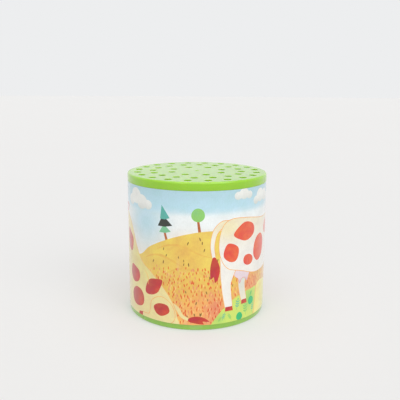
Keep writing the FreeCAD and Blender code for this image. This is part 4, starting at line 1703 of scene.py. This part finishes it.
@dataclass
class PerforatedLid(RoundPiece):
    """Snap-in lid with rings of sound holes, each given by its radius, count and first angle."""

    node: ClassVar[str] = "perforated_lid"
    under: float = 79.1
    shoulder: float = 76.2
    plug_outer: float = 38.48
    plug_inner: float = 36.68
    edge: float = 1.1
    gate: tuple[float, float] = (1.2, 0.7)
    hole: float = 2.1
    lip: float = 0.22
    rings: tuple[tuple[float, int, float], ...] = ((34.28, 20, 10.2), (25.58, 16, 19.5), (15.18, 8, 19.7))

    def blank(self) -> bpy.types.Object:
        """The moulding before it is pierced, with the sunk gate mark in its middle.

        Returns:
            The moulding.
        """
        gate, pip = self.gate
        sunk, pip_top = self.high - 0.6, self.high - 0.25
        section = with_rounds([
            (0.0, self.under, 0), (self.plug_inner, self.under, 0.5), (self.plug_inner, self.low, 0.25),
            (self.plug_outer, self.low, 0.35), (self.plug_outer, self.shoulder, 0.15),
            (self.outer, self.shoulder, 0.25), (self.outer, self.high, self.edge), (gate, self.high, 0.12),
            (gate, sunk, 0.15), (pip, sunk, 0.08), (pip, pip_top, 0.1), (0.0, pip_top, 0)], False)
        return turned("pierced_lid", section, False, 192)

    def cutter(self) -> bpy.types.Object:
        """Punch for one hole, flared at both faces so that the hole has soft lips.

        Returns:
            The punch.
        """
        r, lip, high, low = self.hole, self.lip, self.high, self.under
        section = [(0.0, high + 1.0), (r + lip + 0.4, high + 1.0), (r + lip + 0.2, high + 0.02)]
        section += [(r + lip * (1 - math.sin(a)), high - lip * (1 - math.cos(a)))
                    for a in (math.radians(22.5 * k) for k in range(1, 5))]
        section += [(r, low + 0.12), (r + 0.12, low), (r + 0.2, low - 0.6), (0.0, low - 0.6)]
        return turned("hole_punch", section, False, 32)

    def build(self) -> bpy.types.Object:
        """Pierces the blank.

        Returns:
            The lid.
        """
        return pierced(self.blank(), self.cutter(), LID_GREEN, self.rings)

    def make(self) -> None:
        """Builds and dresses the lid."""
        keep(LID_GREEN.dress(self.build()), "can", self.node)


@dataclass
class BaseCap(RoundPiece):
    """Base with its foot ring, plug and the spigot that holds the bellows."""

    node: ClassVar[str] = "base_cap"
    shoulder: float = 3.3
    edge: float = 1.0
    foot_inner: float = 36.6
    recess: float = 0.8
    floor: float = 2.8
    plug_outer: float = 38.48
    plug_inner: float = 36.68
    spigot_outer: float = 30.03
    spigot_inner: float = 28.63
    spigot_top: float = 8.8
    mark: float = 2.5
    marks: tuple[float, int, float] = (24.0, 4, 45.0)

    def build(self) -> bpy.types.Object:
        """Turns the moulding, then sinks its round ejector marks underneath.

        Returns:
            The base.
        """
        section = with_rounds([
            (0.0, self.recess, 0), (self.foot_inner - 0.4, self.recess, 0.3),
            (self.foot_inner, self.low, 0.35), (self.outer, self.low, self.edge),
            (self.outer, self.shoulder, 0.25), (self.plug_outer, self.shoulder, 0.12),
            (self.plug_outer, self.high, 0.4), (self.plug_inner, self.high, 0.3),
            (self.plug_inner, self.floor, 0.4), (self.spigot_outer, self.floor, 0.3),
            (self.spigot_outer, self.spigot_top, 0.35), (self.spigot_inner, self.spigot_top, 0.3),
            (self.spigot_inner, self.floor, 0.3), (0.0, self.floor, 0)], False)
        base = turned("moulded_base", section, False, 192)
        low, high, r = self.recess - 0.6, self.recess + 0.12, self.mark
        outline = [(0.0, low), (r + 0.1, low), (r, self.recess), (r - 0.08, high), (0.0, high)]
        pin = turned("ejector_pin", outline, False, 40)
        return pierced(base, pin, BASE_GREEN, [self.marks])

    def make(self) -> None:
        """Builds and dresses the base."""
        keep(BASE_GREEN.dress(self.build()), "can", self.node)


@dataclass
class PaperTube(RoundPiece):
    """Board tube inside the label, wound from strips whose joints show as a shallow helix."""

    node: ClassVar[str] = "paper_tube"
    wall: float = 1.2
    strip: float = 32.0
    joint: float = 0.06
    joint_reach: tuple[float, float] = (0.2, 1.4)
    row: float = 0.9

    def groove(self, angle: float, radius: float, height: float) -> tuple[float, float]:
        """Sinks the wall at the joint between strips.

        Args:
            angle: A point's angle about Z.
            radius: Its radius.
            height: Its height.

        Returns:
            Change to its radius and height.
        """
        turns = height / self.strip + angle / TURN
        near = abs(turns - round(turns)) * self.strip
        depth = self.joint * (1.0 - soft_step(*self.joint_reach, near))
        return (-depth if radius > self.outer - self.wall / 2 else depth), 0.0

    def make(self) -> None:
        """Builds and dresses the tube."""
        inner = self.outer - self.wall
        rows = round((self.high - self.low) / self.row)
        heights = [self.low + (self.high - self.low) * k / rows for k in range(rows + 1)]
        section = [(self.outer, z) for z in heights] + [(inner, z) for z in reversed(heights)]
        tube = turned("wound_tube", section, True, 128, 50.0, self.groove)
        keep(BOARD.dress(tube), "can", self.node)


@dataclass
class BumperRings:
    """Soft foam rings that stop the carrier at each end of its fall."""

    wall: float = 1.1
    edge: float = 0.4
    puff: float = 0.06
    seed: int = 3
    pairs: tuple[tuple[str, str], ...] = (("lower_foam_ring", "lower_bumper_ring"),
                                          ("upper_foam_ring", "upper_bumper_ring"))

    def ring(self, name: str, node: str) -> bpy.types.Object:
        """One ring, crowned a little and slightly uneven.

        Args:
            name: The ring's name.
            node: The node that it stands for.

        Returns:
            The ring.
        """
        outer, low, high = size_of(node)
        inner = outer - self.wall
        rng = random.Random(self.seed)
        swell = [(rng.uniform(3, 40), rng.uniform(0, TURN)) for _ in range(6)]

        def uneven(angle: float, radius: float, height: float) -> tuple[float, float]:
            """Small swell that keeps inside the ring's own space.

            Args:
                angle: A point's angle about Z.
                radius: Its radius.
                height: Its height.

            Returns:
                Change to its radius and height.
            """
            wave = sum(math.sin(round(rate) * angle + start) for rate, start in swell) / len(swell)
            side = -1.0 if radius > (outer + inner) / 2 else 1.0
            up = -1.0 if height > (low + high) / 2 else 1.0
            return side * self.puff * (0.5 + 0.5 * wave), up * self.puff * (0.5 - 0.5 * wave)

        corners = ((inner, low), (outer, low), (outer, high), (inner, high))
        section = with_rounds([(*corner, self.edge) for corner in corners], True, 4)
        return turned(name, section, True, 160, 80.0, uneven)

    def make(self) -> None:
        """Builds and dresses both rings."""
        for name, node in self.pairs:
            ring = keep(FOAM.dress(self.ring(name, node)), "can", node)


@dataclass
class Bellows(RoundPiece):
    """Pleated film between the base and the carrier."""

    node: ClassVar[str] = "bellows"
    inner: float = 26.58
    collar: float = 30.23
    first_fold: float = 9.15
    pitch: float = 0.75
    folds: int = 13
    film: float = 0.24
    slack: float = 0.3
    crumple: float = 0.35

    def make(self) -> None:
        """Folds the film into pleats between its two ends."""
        sleeve = new_object("film_bellows", bmesh.new())
        pleated_sleeve().place(
            sleeve, FILM, collar_radius=self.collar * MM, inner_radius=(self.inner + self.slack) * MM,
            outer_radius=(self.outer - self.slack) * MM, foot=self.low * MM, first_fold=self.first_fold * MM,
            pitch=self.pitch * MM, folds=float(self.folds), top=self.high * MM, crumple=self.crumple * MM)
        skin = sleeve.modifiers.new("film", "SOLIDIFY")
        skin.thickness = self.film * MM
        skin.offset = 0.0
        settle(sleeve)
        smooth(sleeve, 60.0)
        FILM.dress(sleeve)
        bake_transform(sleeve)
        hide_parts("bellows")
        LOG.info("made %s: %d faces, can to carrier", sleeve.name, len(sleeve.data.polygons))


@dataclass
class ValveRing(RoundPiece):
    """Loose soft ring that covers the inlets when the carrier falls."""

    node: ClassVar[str] = "valve_ring"
    inner: float = 8.3
    edge: float = 0.18

    def make(self) -> None:
        """Builds and dresses the valve."""
        corners = ((self.inner, self.low), (self.outer, self.low), (self.outer, self.high),
                   (self.inner, self.high))
        section = with_rounds([(*corner, self.edge) for corner in corners], True, 4)
        ring = turned("soft_valve", section, True, 120, 80.0)
        keep(RUBBER.dress(ring), "valve", self.node)


@dataclass
class ReedVoice:
    """Rigid inner parts, kept as they are and given their finishes."""

    finishes: dict[str, Finish] = field(default_factory=lambda: {
        "lower_clamp_ring": GREY_PLASTIC, "upper_clamp_ring": GREY_PLASTIC, "weight_cover": GREY_PLASTIC,
        "reed_block": GREY_PLASTIC, "weight_carrier": NATURAL_PLASTIC, "reed_boot": NATURAL_PLASTIC,
        "sound_horn": NATURAL_PLASTIC, "weight_ring": CAST_IRON, "valve_retainer": STEEL, "shallot": BRASS,
        "reed_tongue": BRASS, "reed_wedge": BEECH})

    def make(self) -> None:
        """Dresses each part."""
        for node, finish in self.finishes.items():
            finish.dress(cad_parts[node])
            LOG.info("dressed %s in %s", node, finish.name)


# ------------------------------------------------------------------------------------ studio
@dataclass(frozen=True)
class Lamp:
    """Broad far light: the way towards it from the can, its width in degrees and its strength."""

    name: str
    direction: tuple[float, float, float]
    spread: float
    power: float

    def make(self) -> None:
        """Hangs the light."""
        light = bpy.data.lights.new(self.name, "SUN")
        light.angle = math.radians(self.spread)
        light.energy = self.power
        obj = bpy.data.objects.new(self.name, light)
        obj.rotation_euler = (-Vector(self.direction)).to_track_quat("-Z", "Y").to_euler()
        bpy.context.scene.collection.objects.link(obj)


@dataclass
class Studio:
    """Pale floor, soft light and the camera."""

    lens: float = 49.32
    place: tuple[float, float, float] = (0.00181, -0.31428, 0.12748)
    pitch: float = 11.487
    roll: float = 0.386
    room: float = 0.5
    floor_radius: float = 9.0
    floor_tones: tuple[Colour, Colour] = ((0.460, 0.456, 0.452), (0.452, 0.448, 0.444))
    floor_light: Colour = (1.0, 0.992, 0.978)
    floor_glow: float = 0.36
    lamps: tuple[Lamp, ...] = (Lamp("key_softbox", (0.85, -0.8, 0.85), 34.0, 0.58),
                               Lamp("front_softbox", (0.0, -1.0, 0.9), 70.0, 0.80),
                               Lamp("top_softbox", (0.0, -0.1, 1.0), 70.0, 1.15))

    def floor(self) -> None:
        """Large matt floor."""
        bm = bmesh.new()
        bmesh.ops.create_circle(bm, cap_ends=True, segments=96, radius=self.floor_radius)
        bmesh.ops.translate(bm, verts=bm.verts, vec=(0.0, 0.0, -0.05 * MM))
        ground = new_object("studio_floor", bm)
        paint = bpy.data.materials.new("studio_floor")
        paint.use_nodes = True
        graph = Graph(paint.node_tree)
        shader = next(n for n in paint.node_tree.nodes if n.type == "BSDF_PRINCIPLED")
        place = graph.add("ShaderNodeTexCoord").outputs["Object"]
        graph.set(shader, {"Base Color": Finish.tone(graph, place, self.floor_tones, 3.0, 0.5, 0.004),
                           "Emission Color": with_alpha(self.floor_light),
                           "Emission Strength": self.floor_glow, "Roughness": 0.9, "Specular IOR Level": 0.1})
        ground.data.materials.append(paint)

    def world(self) -> None:
        """Even, nearly white surroundings."""
        world = bpy.data.worlds.new("studio")
        world.use_nodes = True
        back = world.node_tree.nodes["Background"]
        back.inputs["Color"].default_value = with_alpha(linear(237, 238, 239))
        graph = Graph(world.node_tree)
        diffuse = graph.add("ShaderNodeLightPath").outputs["Is Diffuse Ray"]
        graph.feed(back.inputs["Strength"], graph.spread(diffuse, 0.0, 1.0, 1.0, self.room))
        bpy.context.scene.world = world

    def camera(self) -> None:
        """Camera at the can's front, a little above it."""
        seen = bpy.data.cameras.new("camera")
        seen.sensor_width = 36.0
        seen.lens = self.lens
        seen.clip_start = 0.005
        obj = bpy.data.objects.new("camera", seen)
        obj.location = self.place
        tilt = Vector((0.0, math.cos(math.radians(self.pitch)), -math.sin(math.radians(self.pitch))))
        turn = tilt.to_track_quat("-Z", "Y").to_matrix()
        obj.rotation_euler = (turn @ Matrix.Rotation(math.radians(self.roll), 3, "Z")).to_euler()
        bpy.context.scene.collection.objects.link(obj)
        bpy.context.scene.camera = obj

    def make(self) -> None:
        """Sets the scene."""
        self.floor()
        self.world()
        for lamp in self.lamps:
            lamp.make()
        self.camera()
        bpy.context.scene.view_settings.view_transform = "Standard"
        LOG.info("studio ready")


def main() -> None:
    """Builds every piece, then the studio."""
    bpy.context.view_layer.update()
    PrintedLabel.from_frame().make()
    PerforatedLid.from_frame().make()
    BaseCap.from_frame().make()
    PaperTube.from_frame().make()
    BumperRings().make()
    Bellows.from_frame().make()
    ValveRing.from_frame().make()
    ReedVoice().make()
    Studio().make()


if __name__ == "__main__":
    main()
